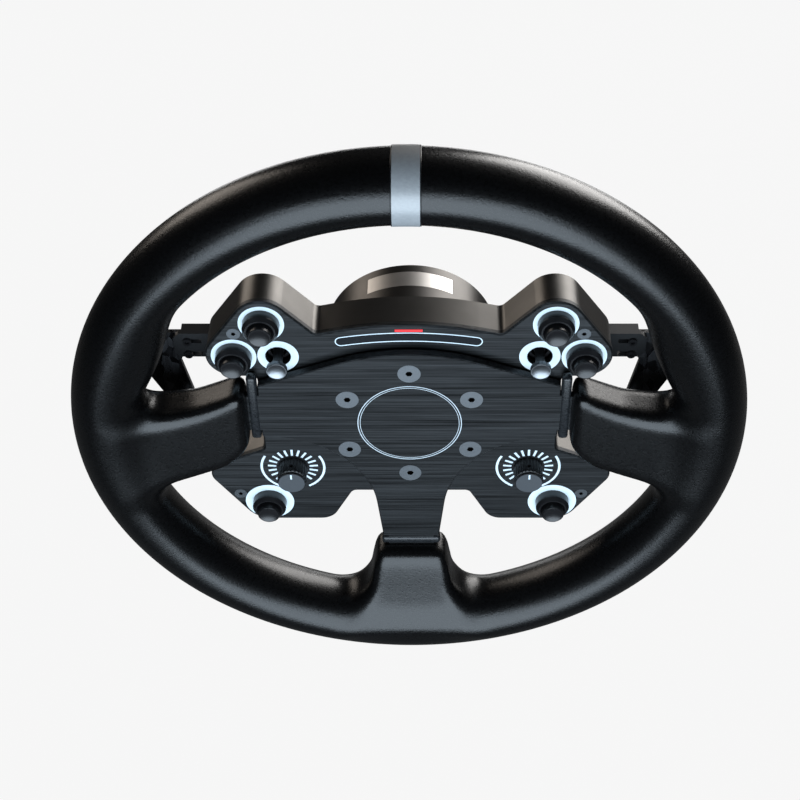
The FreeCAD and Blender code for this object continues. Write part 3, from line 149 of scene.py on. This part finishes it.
def makeLeather(name, values):
    material, tree, shader = newMaterial(name)
    vector = placeNode(tree, (1, 1, 1))
    cells = addNode(tree, "ShaderNodeTexVoronoi", Scale=values["grain"], Randomness=1.0)
    cells.feature = "DISTANCE_TO_EDGE"
    bend = addNode(tree, "ShaderNodeTexNoise", Scale=values["grain"] / 3, Detail=3)
    tree.links.new(vector, bend.inputs["Vector"])
    mixed = addNode(tree, "ShaderNodeMix", data_type="VECTOR")
    mixed.inputs["Factor"].default_value = values["wander"]
    tree.links.new(vector, mixed.inputs[4])
    tree.links.new(bend.outputs["Color"], mixed.inputs[5])
    tree.links.new(mixed.outputs[1], cells.inputs["Vector"])
    pebbles = rangeNode(tree, cells.outputs["Distance"], 0, 1, 0.0, 0.35)
    creases = noiseNode(tree, placeNode(tree, values["crease"], values["creaseTurn"]), 1.0)
    color = rampNode(tree, creases, [(0.3, values["dark"]), (0.7, values["light"])])
    tree.links.new(color, shader.inputs["Base Color"])
    tree.links.new(rangeNode(tree, creases, *values["rough"]), shader.inputs["Roughness"])
    fine = bumpNode(tree, pebbles, *values["grainBump"])
    tree.links.new(bumpNode(tree, creases, *values["creaseBump"], fine), shader.inputs["Normal"])
    shader.inputs["Specular IOR Level"].default_value = values["gloss"]
    return material


brushedValues = {"dark": (0.006, 0.0065, 0.007), "light": (0.05, 0.053, 0.056),
                 "rough": (0.36, 0.5), "metal": 0.75, "bump": (0.12, 0.0002),
                 # streaks per metre along each axis; the broad ones are fewer and count less
                 "streak": (18, 1900, 1900), "broad": 0.3, "broadShare": 0.15}


def makeBrushed(name, values):
    material, tree, shader = newMaterial(name)
    streaks = noiseNode(tree, placeNode(tree, values["streak"]), 1.0, 5, 0.65)
    fewer = tuple(count * values["broad"] for count in values["streak"])
    broad = noiseNode(tree, placeNode(tree, fewer), 1.0, 2, 0.5)
    both = addNode(tree, "ShaderNodeMath", operation="MULTIPLY_ADD")
    tree.links.new(streaks, both.inputs[0])
    both.inputs[1].default_value = 1 - values["broadShare"]
    tree.links.new(rangeNode(tree, broad, 0, values["broadShare"], 0.2, 0.8), both.inputs[2])
    line = both.outputs[0]
    color = rampNode(tree, line, [(0.36, values["dark"]), (0.68, values["light"])])
    tree.links.new(color, shader.inputs["Base Color"])
    tree.links.new(rangeNode(tree, line, *values["rough"]), shader.inputs["Roughness"])
    tree.links.new(bumpNode(tree, line, *values["bump"]), shader.inputs["Normal"])
    shader.inputs["Metallic"].default_value = values["metal"]
    return material


metalValues = {"cloud": 60, "darker": 0.86, "roughSpread": 0.05, "depth": 0.0001}


def makeMetal(name, color, rough, metal=1.0, grain=900, bump=0.02):
    material, tree, shader = newMaterial(name)
    speck = noiseNode(tree, placeNode(tree, (1, 1, 1)), grain, 1, 0.5)
    cloud = noiseNode(tree, placeNode(tree, (1, 1, 1)), metalValues["cloud"], 2, 0.5)
    darker = tuple(v * metalValues["darker"] for v in color)
    spread = rough * metalValues["roughSpread"]
    tree.links.new(rampNode(tree, cloud, [(0.35, darker), (0.65, color)]),
                   shader.inputs["Base Color"])
    tree.links.new(rangeNode(tree, speck, rough - spread, rough + spread),
                   shader.inputs["Roughness"])
    tree.links.new(bumpNode(tree, speck, bump, metalValues["depth"]), shader.inputs["Normal"])
    shader.inputs["Metallic"].default_value = metal
    return material


def makePlastic(name, color, rough, grain=1500, bump=0.1):
    return makeMetal(name, color, rough, 0.0, grain, bump)


glowValues = {"cloud": 300, "darker": 0.9, "rough": 0.4}


# glowing finish with a random cloud of tone: the light rings glow with it, and on printed marks
# the glow is painted light
def makeGlow(name, color, strength):
    material, tree, shader = newMaterial(name)
    cloud = noiseNode(tree, placeNode(tree, (1, 1, 1)), glowValues["cloud"], 2, 0.5)
    darker = tuple(v * glowValues["darker"] for v in color)
    shade = rampNode(tree, cloud, [(0.3, darker), (0.7, color)])
    tree.links.new(shade, shader.inputs["Base Color"])
    tree.links.new(shade, shader.inputs["Emission Color"])
    shader.inputs["Emission Strength"].default_value = strength
    shader.inputs["Roughness"].default_value = glowValues["rough"]
    return material


carbonValues = {"dark": (0.004, 0.004, 0.005), "light": (0.07, 0.072, 0.078), "flake": 260,
                "stretch": (1, 1, 0.55), "fibre": (1200, 1200, 120), "rough": (0.25, 0.5),
                "bump": (0.1, 0.0002), "coat": 0.6, "coatRough": 0.12, "metal": 0.4}


def makeForgedCarbon(name, values):
    material, tree, shader = newMaterial(name)
    vector = placeNode(tree, values["stretch"])
    flakes = addNode(tree, "ShaderNodeTexVoronoi", Scale=values["flake"], Randomness=1.0)
    tree.links.new(vector, flakes.inputs["Vector"])
    apart = addNode(tree, "ShaderNodeSeparateColor")
    tree.links.new(flakes.outputs["Color"], apart.inputs["Color"])
    fibres = noiseNode(tree, placeNode(tree, values["fibre"]), 1.0, 3, 0.6)
    blended = addNode(tree, "ShaderNodeMath", operation="MULTIPLY")
    tree.links.new(apart.outputs[0], blended.inputs[0])
    tree.links.new(fibres, blended.inputs[1])
    color = rampNode(tree, blended.outputs[0], [(0.1, values["dark"]), (0.5, values["light"])])
    tree.links.new(color, shader.inputs["Base Color"])
    tree.links.new(rangeNode(tree, apart.outputs[1], *values["rough"]),
                   shader.inputs["Roughness"])
    tree.links.new(bumpNode(tree, apart.outputs[0], *values["bump"]), shader.inputs["Normal"])
    shader.inputs["Coat Weight"].default_value = values["coat"]
    shader.inputs["Coat Roughness"].default_value = values["coatRough"]
    shader.inputs["Metallic"].default_value = values["metal"]
    return material


finishes = {
    "leather": makeLeather("gripLeather", leatherValues),
    # pads: the grip leather made several times lighter, a painted sheen for the soft highlight on
    # them
    "trimLeatherPaintedSheen": makeLeather("trimLeatherPaintedSheen", {**leatherValues, "dark": (0.006, 0.007, 0.008),
                                               "light": (0.02, 0.022, 0.025)}),
    "brushed": makeBrushed("brushedBlack", brushedValues),
    "shell": makeMetal("bronzeBlack", (0.098, 0.094, 0.089), 0.36, grain=1200),
    "hub": makeMetal("hubBlack", (0.085, 0.081, 0.077), 0.36, grain=1200),
    "steel": makeMetal("brightSteel", (0.62, 0.62, 0.62), 0.25),
    "blackSteel": makeMetal("blackSteel", (0.035, 0.036, 0.038), 0.38, 0.6),
    "stickMetal": makeMetal("stickMetal", (0.24, 0.255, 0.27), 0.34, grain=400, bump=0.001),
    "blackPlastic": makePlastic("blackPlastic", (0.007, 0.007, 0.008), 0.3),
    "band": makeLeather("bandLeather", {**leatherValues, "dark": (0.27, 0.285, 0.30),
                                        "light": (0.31, 0.33, 0.345), "rough": (0.34, 0.42),
                                        "gloss": 0.95}),
    # ring glow: the light rings, and also the dial arcs, ticks, knob index lines and slot outline,
    # where it is painted light
    "ring": makeGlow("ringLightAndPrintGlow", (0.56, 0.68, 0.76), 0.36),
    # crest rings: printed lines given a painted glow
    "thinLine": makeGlow("thinLine", (0.50, 0.58, 0.64), 0.25),
    # centre mark: red print, with a glow that is painted light
    "red": makeGlow("redMarkPaintedGlow", (0.72, 0.02, 0.025), 0.6),
    "lens": makePlastic("smokedLens", (0.012, 0.014, 0.017), 0.2),
    "board": makePlastic("boardGreen", (0.01, 0.05, 0.025), 0.45),
    "chip": makePlastic("chipWhite", (0.7, 0.7, 0.66), 0.4),
    "core": makeMetal("coreMetal", (0.5, 0.5, 0.52), 0.5),
    "carbon": makeForgedCarbon("forgedCarbon", carbonValues),
    "label": makeMetal("labelGrey", (0.56, 0.54, 0.52), 0.42),
}


# pieces whose front face differs from the rest: knobs with a grey face, and screws with a grey
# head whose hex socket is coloured dark, a painted shade for the recess; "edge" is how far
# behind the foremost point the other finish starts

depthBlur = 0.05 * mm
depthValues = {
    "knob": {"node": "knob_left", "edge": 0.1 * mm, "face": (0.055, 0.062, 0.07),
             "rest": (0.007, 0.007, 0.008), "rough": 0.42, "metal": 0.0},
    # screws: the dark colour behind the face is painted shade in the hex socket
    "plateScrew": {"node": "plate_screws", "edge": 0.25 * mm, "face": (0.19, 0.205, 0.22),
                   "rest": (0.004, 0.004, 0.005), "rough": 0.42, "metal": 0.9},
    "panelScrew": {"node": "panel_screws", "edge": 0.25 * mm, "face": (0.12, 0.13, 0.14),
                   "rest": (0.004, 0.004, 0.005), "rough": 0.42, "metal": 0.9},
}


def makeDepthFinish(name, values):
    material, tree, shader = newMaterial(name)
    coords = addNode(tree, "ShaderNodeTexCoord")
    place = addNode(tree, "ShaderNodeSeparateXYZ")
    tree.links.new(coords.outputs["Object"], place.inputs[0])
    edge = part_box(values["node"])[0].y + values["edge"]
    onFace = rangeNode(tree, place.outputs["Y"], 1, 0, edge - depthBlur, edge + depthBlur)
    speck = noiseNode(tree, placeNode(tree, (1, 1, 1)), 1400, 2, 0.5)
    lively = rampNode(tree, speck, [(0.3, tuple(v * 0.9 for v in values["face"])),
                                    (0.7, values["face"])])
    mix = addNode(tree, "ShaderNodeMix", data_type="RGBA")
    # colour behind the face: the knob's own black, and on the screws painted shade in the socket
    mix.inputs[6].default_value = (*values["rest"], 1)
    tree.links.new(lively, mix.inputs[7])
    tree.links.new(onFace, mix.inputs["Factor"])
    tree.links.new(mix.outputs[2], shader.inputs["Base Color"])
    shader.inputs["Roughness"].default_value = values["rough"]
    shader.inputs["Metallic"].default_value = values["metal"]
    return material


for name, values in depthValues.items():
    finishes[name] = makeDepthFinish(name + "Finish", values)

nodeFinish = {
    # rim and plate
    "rim_core": "core", "rim_grip": "leather", "top_marker_band": "band",
    "spoke_trim_left": "trimLeatherPaintedSheen", "spoke_trim_right": "trimLeatherPaintedSheen",
    "spoke_trim_bottom": "trimLeatherPaintedSheen", "centre_plate": "brushed",
    "plate_screws": "plateScrew", "hub_spacer": "hub",
    # button box
    "face_panel": "brushed", "panel_screws": "panelScrew", "rear_shell": "shell",
    "light_rings": "ring", "rev_light_lens": "lens", "rev_light_board": "board",
    "rev_lights": "chip", "centre_mark": "red", "control_board_left": "board",
    "control_board_right": "board",
    # controls
    "button_nuts": "blackSteel", "knob_left": "knob", "knob_right": "knob",
    "encoder_nuts": "blackSteel", "encoder_shaft_left": "steel",
    "encoder_shaft_right": "steel", "stick_left": "blackSteel", "stick_right": "blackSteel",
    "stick_cap_left": "stickMetal", "stick_cap_right": "stickMetal",
    # quick release
    "qr_hub": "hub", "qr_collar": "hub", "qr_balls": "steel", "qr_snap_ring": "steel",
    "qr_spring": "steel", "qr_contact_board": "board", "collar_label": "label",
    # paddles
    "paddle_arm_left": "blackSteel", "paddle_arm_right": "blackSteel",
    "paddle_blade_left": "carbon", "paddle_blade_right": "carbon",
    "paddle_brackets": "blackSteel", "paddle_pins": "steel",
}  # every other node is black plastic
for name, part in nodes.items():
    finish = finishes[nodeFinish.get(name, "blackPlastic")]
    if not part.material_slots:
        part.data.materials.append(finish)
    for slot in part.material_slots:
        slot.material = finish
print("finishes given to", len(nodes), "nodes")


# mesh helpers

def newPiece(name, vertices, faces, finish, body, smooth=True):
    mesh = bpy.data.meshes.new(name)
    mesh.from_pydata([tuple(v) for v in vertices], [], [tuple(f) for f in faces])
    mesh.update()
    piece = newObject(name, mesh)
    mesh.materials.append(finishes[finish])
    if smooth:
        mesh.shade_smooth()
    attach(piece, body)
    return piece


def ribbonPiece(name, inner, outer, front, back, finish, body, closed=True):
    # a flat strip between two rows of (x, z) points, front and back at two depths
    count = len(inner)
    vertices = [(x, depth, z) for row in (inner, outer) for x, z in row
                for depth in (front, back)]
    faces = []
    for index in range(count if closed else count - 1):
        following = (index + 1) % count
        innerHere, innerNext = 2 * index, 2 * following
        outerHere, outerNext = 2 * (count + index), 2 * (count + following)
        faces += [(innerHere, innerNext, outerNext, outerHere),
                  (innerNext + 1, innerHere + 1, outerHere + 1, outerNext + 1),
                  (innerNext, innerHere, innerHere + 1, innerNext + 1),
                  (outerHere, outerNext, outerNext + 1, outerHere + 1)]
    if not closed:
        for index in (0, count - 1):
            inside, outside = 2 * index, 2 * (count + index)
            faces.append((inside, inside + 1, outside + 1, outside))
    piece = newPiece(name, vertices, faces, finish, body, False)
    tidy = bmesh.new()
    tidy.from_mesh(piece.data)
    bmesh.ops.recalc_face_normals(tidy, faces=tidy.faces)
    tidy.to_mesh(piece.data)
    tidy.free()
    return piece


def arcPoints(centre, radius, start, end, count):
    angles = [math.radians(start + (end - start) * step / (count - 1)) for step in range(count)]
    return [(centre[0] + radius * math.cos(angle), centre[1] + radius * math.sin(angle))
            for angle in angles]


# leather grip: one smooth skin round the rim and its three spokes

coreLow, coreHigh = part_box("rim_core")
gripLow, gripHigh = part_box("rim_grip")
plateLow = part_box("centre_plate")[0]
trimLow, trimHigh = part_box("spoke_trim_right")
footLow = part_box("spoke_trim_bottom")[0]
ringRadius = coreHigh.x - (coreHigh.y - coreLow.y) / 2
ringMiddle = (coreHigh.y + coreLow.y) / 2
gripHalfWidth = gripHigh.x - ringRadius
gripHalfDepth = ringMiddle - gripLow.y
spokeRise = (trimLow.z + trimHigh.z) / 2
gripValues = {
    # size of a cell, empty cells round the grip, cells kept off the surface, rounds of blur
    "cell": 1.5 * mm, "margin": 3, "far": 5, "soften": 2,
    "blend": 13 * mm, "endRound": 6 * mm, "restBlend": 8 * mm,
    # gap to the pads, and how far the side and bottom sleeves reach into the rim
    "trimGap": 0.3 * mm, "sideReach": 58 * mm, "bottomReach": 47 * mm,
    # along the spoke: distance, low edge, high edge, front, back, corner radius, in millimetres
    "side": [(0, -18.15, 18.6, -9, 11, 4), (5, -24, 17.8, -9.4, 11.4, 4),
             (11, -30.5, 14.6, -10, 12, 4.5), (26, -36.6, 8.6, -11, 12, 5.5),
             (43, -42.6, 6.6, -13, 13, 7), (62, -48, 7, -14.5, 11.5, 9)],
    "bottom": [(0, -17.9, 17.9, -8.6, 12, 4), (10, -20.3, 20.3, -11, 12, 5),
               (24, -22.5, 22.5, -13.8, 12.5, 6), (34, -28.5, 28.5, -16, 13, 8),
               (48, -36, 36, -18.5, 11.5, 9)],
    # thumb rests: angle above the spoke, inset from the ring, half length, thickest radius
    "rest": (22, 8.5 * mm, 38 * mm, 13.5 * mm),
}


def smoothMax(a, b, width):
    mix = np.clip(0.5 + 0.5 * (a - b) / width, 0, 1)
    return b + (a - b) * mix + width * mix * (1 - mix)


def smoothMin(a, b, width):
    return -smoothMax(-a, -b, width)


def tubeDistance(x, y, z):
    # the rim: a ring of elliptical section
    across = np.sqrt(x * x + z * z) - ringRadius
    along = y - ringMiddle
    first = np.sqrt((across / gripHalfWidth) ** 2 + (along / gripHalfDepth) ** 2)
    second = np.sqrt((across / gripHalfWidth ** 2) ** 2 + (along / gripHalfDepth ** 2) ** 2)
    return first * (first - 1) / np.maximum(second, 1e-9)


columnValues = {"from": -12, "to": 76, "window": 15}  # millimetres along the spoke


def softColumn(table, column):
    # one column of the table at 1 mm steps, with its kinks rounded off
    steps = np.arange(columnValues["from"], columnValues["to"]) * mm
    values = np.interp(steps, table[:, 0], table[:, column])
    window = np.hanning(columnValues["window"])
    padded = np.pad(values, columnValues["window"] // 2, mode="edge")
    return steps, np.convolve(padded, window / window.sum(), mode="valid")


def sleeveDistance(along, across, depth, stations, reach):
    # a bar from the pad to its reach, whose rounded section changes along its length
    table = np.array(stations, float) * mm
    low, high, front, back, corner = (np.interp(along, *softColumn(table, k))
                                      for k in range(1, 6))
    front, back = front + plateLow.y, back + plateLow.y
    over = np.abs(across - (low + high) / 2) - ((high - low) / 2 - corner)
    deep = np.abs(depth - (front + back) / 2) - ((back - front) / 2 - corner)
    outside = np.sqrt(np.maximum(over, 0) ** 2 + np.maximum(deep, 0) ** 2)
    section = outside + np.minimum(np.maximum(over, deep), 0) - corner
    section = smoothMax(section, -along, gripValues["endRound"])
    return np.maximum(section, along - reach)


def restDistance(x, y, z):
    # a swelling laid along the inner side of the rim
    angle, inset, halfLength, radius = gripValues["rest"]
    out = Vector((math.cos(math.radians(angle)), math.sin(math.radians(angle))))
    across = x * out.x + z * out.y - (ringRadius - inset)
    along = -x * out.y + z * out.x
    flat = np.sqrt((across ** 2 + (y - ringMiddle) ** 2) / radius ** 2 + (along / halfLength) ** 2)
    return (flat - 1) * radius


def softened(field):
    # each cell blurred with its neighbours, along one axis after the other
    for axis in range(3):
        before = np.arange(field.shape[axis])
        for _ in range(gripValues["soften"]):
            padded = np.concatenate([field.take([0], axis), field, field.take([-1], axis)], axis)
            field = (padded.take(before, axis) + 2 * field + padded.take(before + 2, axis)) / 4
    return field


def makeGrip():
    cell, far = gripValues["cell"], gripValues["far"]
    margin = gripValues["margin"] * cell
    low, high = np.array(gripLow) - margin, np.array(gripHigh) + margin
    counts = np.ceil((high - low) / cell).astype(int)
    axes = [low[k] + cell * np.arange(counts[k]) for k in range(3)]
    x, y, z = np.meshgrid(*axes, indexing="ij", sparse=True)
    sideStart = trimHigh.x + gripValues["trimGap"]
    footStart = footLow.z - gripValues["trimGap"]
    side = sleeveDistance(np.abs(x) - sideStart, z - spokeRise, y, gripValues["side"],
                          gripValues["sideReach"])
    foot = sleeveDistance(footStart - z, x, y, gripValues["bottom"], gripValues["bottomReach"])
    field = smoothMin(tubeDistance(x, y, z), restDistance(np.abs(x), y, z),
                      gripValues["restBlend"])
    field = smoothMin(field, side, gripValues["blend"])
    field = softened(smoothMin(field, foot, gripValues["blend"]))
    grid = openvdb.FloatGrid(float(far * cell))
    grid.copyFromArray(np.ascontiguousarray(np.clip(field / cell, -far, far), dtype=np.float32))
    points, quads = grid.convertToQuads(0.0)
    return newPiece("gripSkin", points * cell + low, quads[:, ::-1], "leather", "root")


gripSkin = makeGrip()
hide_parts("rim_grip")
print("grip skin:", len(gripSkin.data.vertices), "points")


# centre plate, with side tongues whose upper edges fall away inside the leather

plateValues = {"start": 84 * mm, "end": 148 * mm, "tipShare": 0.06}


def makePlate():
    mesh = nodes["centre_plate"].data.copy()
    mesh.name = "plateFace"
    span = plateValues["end"] - plateValues["start"]
    for point in mesh.vertices:
        share = min(max((abs(point.co.x) - plateValues["start"]) / span, 0), 1)
        if share > 0 and point.co.z > spokeRise:
            kept = 1 - share * (1 - plateValues["tipShare"])
            point.co.z = spokeRise + (point.co.z - spokeRise) * kept
    plate = newObject("plateFace", mesh)
    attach(plate, "root")
    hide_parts("centre_plate")


makePlate()


# leather pads between the plate and the spokes

padValues = {"round": 1.6 * mm, "shrink": 0.25 * mm, "steps": 4,
             # how far each pad rises past its solid, to close the corner under the panel
             "rise": {"left": 6 * mm, "right": 6 * mm, "bottom": 0}}


def makePad(side):
    name = f"spoke_trim_{side}"
    low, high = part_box(name)
    high = high + Vector((0, 0, padValues["rise"][side]))
    shape = bmesh.new()
    bmesh.ops.create_cube(shape, size=1)
    size = [high[k] - low[k] - 2 * padValues["shrink"] for k in range(3)]
    bmesh.ops.scale(shape, vec=size, verts=shape.verts)
    bmesh.ops.bevel(shape, geom=shape.edges, offset=padValues["round"],
                    segments=padValues["steps"], profile=0.5, affect="EDGES")
    bmesh.ops.translate(shape, vec=(low + high) / 2, verts=shape.verts)
    mesh = bpy.data.meshes.new(name)
    shape.to_mesh(mesh)
    shape.free()
    # the lighter pad leather is a painted sheen
    mesh.materials.append(finishes["trimLeatherPaintedSheen"])
    mesh.shade_smooth()
    pad = newObject("pad" + side.capitalize(), mesh)
    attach(pad, "root")
    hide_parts(name)


for side in padValues["rise"]:
    makePad(side)
print("plate and pads placed")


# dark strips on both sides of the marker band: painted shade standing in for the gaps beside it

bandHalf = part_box("top_marker_band")[1].x
gapShadeValues = {"thick": 0.35 * mm, "gap": 0.25 * mm, "steps": 72}


def makeBandGapShade(side):
    x = side * (bandHalf + gapShadeValues["gap"])
    curve = bpy.data.curves.new("bandGapShade", "CURVE")
    curve.dimensions = "3D"
    curve.bevel_depth = gapShadeValues["thick"]
    curve.bevel_resolution = 2
    spline = curve.splines.new("POLY")
    spline.points.add(gapShadeValues["steps"] - 1)
    for index, point in enumerate(spline.points):
        angle = 2 * math.pi * index / gapShadeValues["steps"]
        radius = ringRadius + gripHalfWidth * math.cos(angle)
        point.co = (x, ringMiddle + gripHalfDepth * math.sin(angle),
                    math.sqrt(radius ** 2 - x ** 2), 1)
    spline.use_cyclic_u = True
    # black tube: painted shade where the gap beside the band would be
    curve.materials.append(finishes["blackPlastic"])
    gapShade = newObject("bandGapShadeRight" if side > 0 else "bandGapShadeLeft", curve)
    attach(gapShade, "root")


for side in (-1, 1):
    makeBandGapShade(side)
print("band gap shade laid")


# thin printed lines on the plate and the panel, all given a glow: painted light

printValues = {"thick": 0.06 * mm, "sunk": 0.02 * mm}
crestValues = {"rings": [(25.6 * mm, 0.42 * mm), (24.5 * mm, 0.26 * mm)], "rise": 1.0 * mm,
               "steps": 144}


def makeCrestRing(index, radius, width):
    centre, steps = (0, crestValues["rise"]), crestValues["steps"]
    edges = [arcPoints(centre, radius + half, 0, 360 - 360 / steps, steps)
             for half in (-width / 2, width / 2)]
    ribbonPiece(f"crestRing{index}", *edges, plateLow.y - printValues["thick"],
                plateLow.y + printValues["sunk"], "thinLine", "root")


for index, (radius, width) in enumerate(crestValues["rings"]):
    makeCrestRing(index, radius, width)

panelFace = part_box("face_panel")[0].y
# dial sizes in millimetres from the knob's middle, and angles in degrees
dialValues = {"ring": 16.1, "ringWidth": 1.2, "tickIn": 8.6, "tickOut": 12.9, "tickWidth": 1.15,
              "ticks": 17, "sweep": 135, "ringArcs": [(149, 242), (-62, 31)], "arcSteps": 40,
              "indexIn": 3.1, "indexOut": 6.3, "indexWidth": 0.9}


# dial arcs and ticks are print drawn in the ring glow: painted light
def makeDial(side):
    low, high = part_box(f"knob_{side}")
    centre = ((low.x + high.x) / 2, (low.z + high.z) / 2)
    half = dialValues["ringWidth"] / 2
    for number, (start, end) in enumerate(dialValues["ringArcs"]):
        edges = [arcPoints(centre, (dialValues["ring"] + way) * mm, start, end,
                           dialValues["arcSteps"]) for way in (-half, half)]
        ribbonPiece(f"dialArc_{side}{number}", *edges, panelFace - printValues["thick"],
                    panelFace + printValues["sunk"], "ring", "root", False)
    vertices, faces = [], []
    for index in range(dialValues["ticks"]):
        turn = dialValues["sweep"] * (2 * index / (dialValues["ticks"] - 1) - 1)
        out = Vector((math.sin(math.radians(turn)), 0, math.cos(math.radians(turn))))
        across = Vector((out.z, 0, -out.x)) * dialValues["tickWidth"] / 2 * mm
        base = len(vertices)
        for depth in (-printValues["thick"], printValues["sunk"]):
            for reach in (dialValues["tickIn"], dialValues["tickOut"]):
                for way in (-1, 1):
                    point = out * reach * mm + across * way
                    vertices.append((centre[0] + point.x, panelFace + depth,
                                     centre[1] + point.z))
        faces += [tuple(base + k for k in quad) for quad in
                  ((0, 1, 3, 2), (4, 6, 7, 5), (0, 4, 5, 1), (2, 3, 7, 6), (0, 2, 6, 4),
                   (1, 5, 7, 3))]
    newPiece(f"dialTicks_{side}", vertices, faces, "ring", "root", False)


# knob index line: print drawn in the ring glow, painted light
def makeIndexLine(side):
    low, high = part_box(f"knob_{side}")
    middle = (low + high) / 2
    half = dialValues["indexWidth"] / 2 * mm
    start, end = (middle.z + dialValues[key] * mm for key in ("indexIn", "indexOut"))
    points = [(middle.x - half, start), (middle.x + half, start), (middle.x + half, end),
              (middle.x - half, end)]
    vertices = [(x, low.y + depth, z)
                for depth in (-printValues["thick"], printValues["sunk"]) for x, z in points]
    faces = [(0, 1, 2, 3), (7, 6, 5, 4)] + [(k, k + 4, (k + 1) % 4 + 4, (k + 1) % 4)
                                            for k in range(4)]
    newPiece(f"knobIndex_{side}", vertices, faces, "ring", f"dial_{side}", False)


for side in ("left", "right"):
    makeDial(side)
    makeIndexLine(side)
print("dials drawn")


# thin outline round the rev-light slot, given a glow: painted light

slotValues = {"arc": 177 * mm, "width": 0.5 * mm, "arcSteps": 40, "endSteps": 12}


def makeSlotLine():
    low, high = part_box("rev_light_lens")
    radius = slotValues["arc"]
    halfLength = (high.x - low.x) / 2
    halfHeight = (high.z - low.z - (radius - math.sqrt(radius ** 2 - halfLength ** 2))) / 2
    middle = high.z - halfHeight - radius
    spread = (halfLength - halfHeight) / radius
    arcSteps, endSteps = slotValues["arcSteps"], slotValues["endSteps"]

    def outline(grow):
        # radius and angle of each point: the outer arc, a round end, the inner arc, a round end
        reach = halfHeight + grow
        points = []
        for sign, start in ((1, -spread), (-1, spread)):
            for step in range(arcSteps + 1):
                angle = start + sign * 2 * spread * step / arcSteps
                points.append((radius + sign * reach, angle))
            end = start + sign * 2 * spread
            for step in range(1, endSteps):
                turn = math.pi * step / endSteps
                points.append((radius + sign * reach * math.cos(turn),
                               end + sign * reach * math.sin(turn) / radius))
        return [(r * math.sin(a), middle + r * math.cos(a)) for r, a in points]

    half = slotValues["width"] / 2
    ribbonPiece("slotLine", outline(-half), outline(half), panelFace - printValues["thick"],
                panelFace + printValues["sunk"], "ring", "root")


makeSlotLine()
print("slot outlined")


# floor and light: both look pale to the camera and through glass, and dim to every other ray

stageValues = {"floor": -0.55, "reach": 1.6, "near": -0.35, "far": 2.6, "rough": 0.9,
               "pale": (0.95, 0.95, 0.95), "floorDim": (0.1, 0.1, 0.1), "floorGlow": 0.97,
               "worldDim": (0.02, 0.021, 0.023)}


def seenNode(tree):
    paths = addNode(tree, "ShaderNodeLightPath")
    seen = addNode(tree, "ShaderNodeMath", operation="MAXIMUM")
    tree.links.new(paths.outputs["Is Camera Ray"], seen.inputs[0])
    tree.links.new(paths.outputs["Is Transmission Ray"], seen.inputs[1])
    return seen.outputs[0]


def makeFloor():
    left, right = -stageValues["reach"], stageValues["reach"]
    near, far, z = stageValues["near"], stageValues["far"], stageValues["floor"]
    mesh = bpy.data.meshes.new("floor")
    mesh.from_pydata([(left, near, z), (right, near, z), (right, far, z), (left, far, z)], [],
                     [(0, 1, 2, 3)])
    floor = newObject("floor", mesh)
    material, tree, shader = newMaterial("paleFloor")
    shader.inputs["Base Color"].default_value = (*stageValues["floorDim"], 1)
    shader.inputs["Roughness"].default_value = stageValues["rough"]
    glow = addNode(tree, "ShaderNodeEmission", Color=(*stageValues["pale"], 1), Strength=1.0)
    share = addNode(tree, "ShaderNodeMath", operation="MULTIPLY")
    tree.links.new(seenNode(tree), share.inputs[0])
    share.inputs[1].default_value = stageValues["floorGlow"]
    mix = addNode(tree, "ShaderNodeMixShader")
    tree.links.new(share.outputs[0], mix.inputs[0])
    tree.links.new(shader.outputs[0], mix.inputs[1])
    tree.links.new(glow.outputs[0], mix.inputs[2])
    tree.links.new(mix.outputs[0], tree.nodes["Material Output"].inputs["Surface"])
    mesh.materials.append(material)


def makeWorld():
    world = bpy.data.worlds.new("studio")
    scene.world = world
    world.use_nodes = True
    tree = world.node_tree
    mix = addNode(tree, "ShaderNodeMix", data_type="RGBA")
    mix.inputs[6].default_value = (*stageValues["worldDim"], 1)
    mix.inputs[7].default_value = (*stageValues["pale"], 1)
    tree.links.new(seenNode(tree), mix.inputs["Factor"])
    tree.links.new(mix.outputs[2], tree.nodes["Background"].inputs["Color"])


lampAim = Vector((0, -0.07, 0))
lampValues = {
    "front": {"place": (0.0, -1.5, -0.02), "size": (1.7, 1.7), "power": 52,
              "color": (0.75, 0.88, 1.0)},
    "backLeft": {"place": (-0.95, 1.0, 0.45), "size": (0.6, 0.7), "power": 3.5,
                 "color": (1.0, 0.9, 0.8)},
    "backRight": {"place": (0.7, 1.15, 0.44), "size": (0.85, 0.9), "power": 17.5,
                  "color": (1.0, 0.98, 0.96)},
    "backLow": {"place": (0.0, 1.3, -0.36), "size": (1.2, 0.3), "power": 2.5,
                "color": (1.0, 1.0, 1.0)},
}


def makeLamp(name, values):
    data = bpy.data.lights.new(name, "AREA")
    data.shape = "RECTANGLE"
    data.size, data.size_y = values["size"]
    data.energy = values["power"]
    data.color = values["color"]
    lamp = newObject(name, data)
    lamp.location = values["place"]
    aim = lampAim - lamp.location
    lamp.rotation_euler = aim.to_track_quat("-Z", "Y").to_euler()
    lamp.visible_camera = False


makeFloor()
makeWorld()
for name, values in lampValues.items():
    makeLamp(name, values)
print("stage lit")
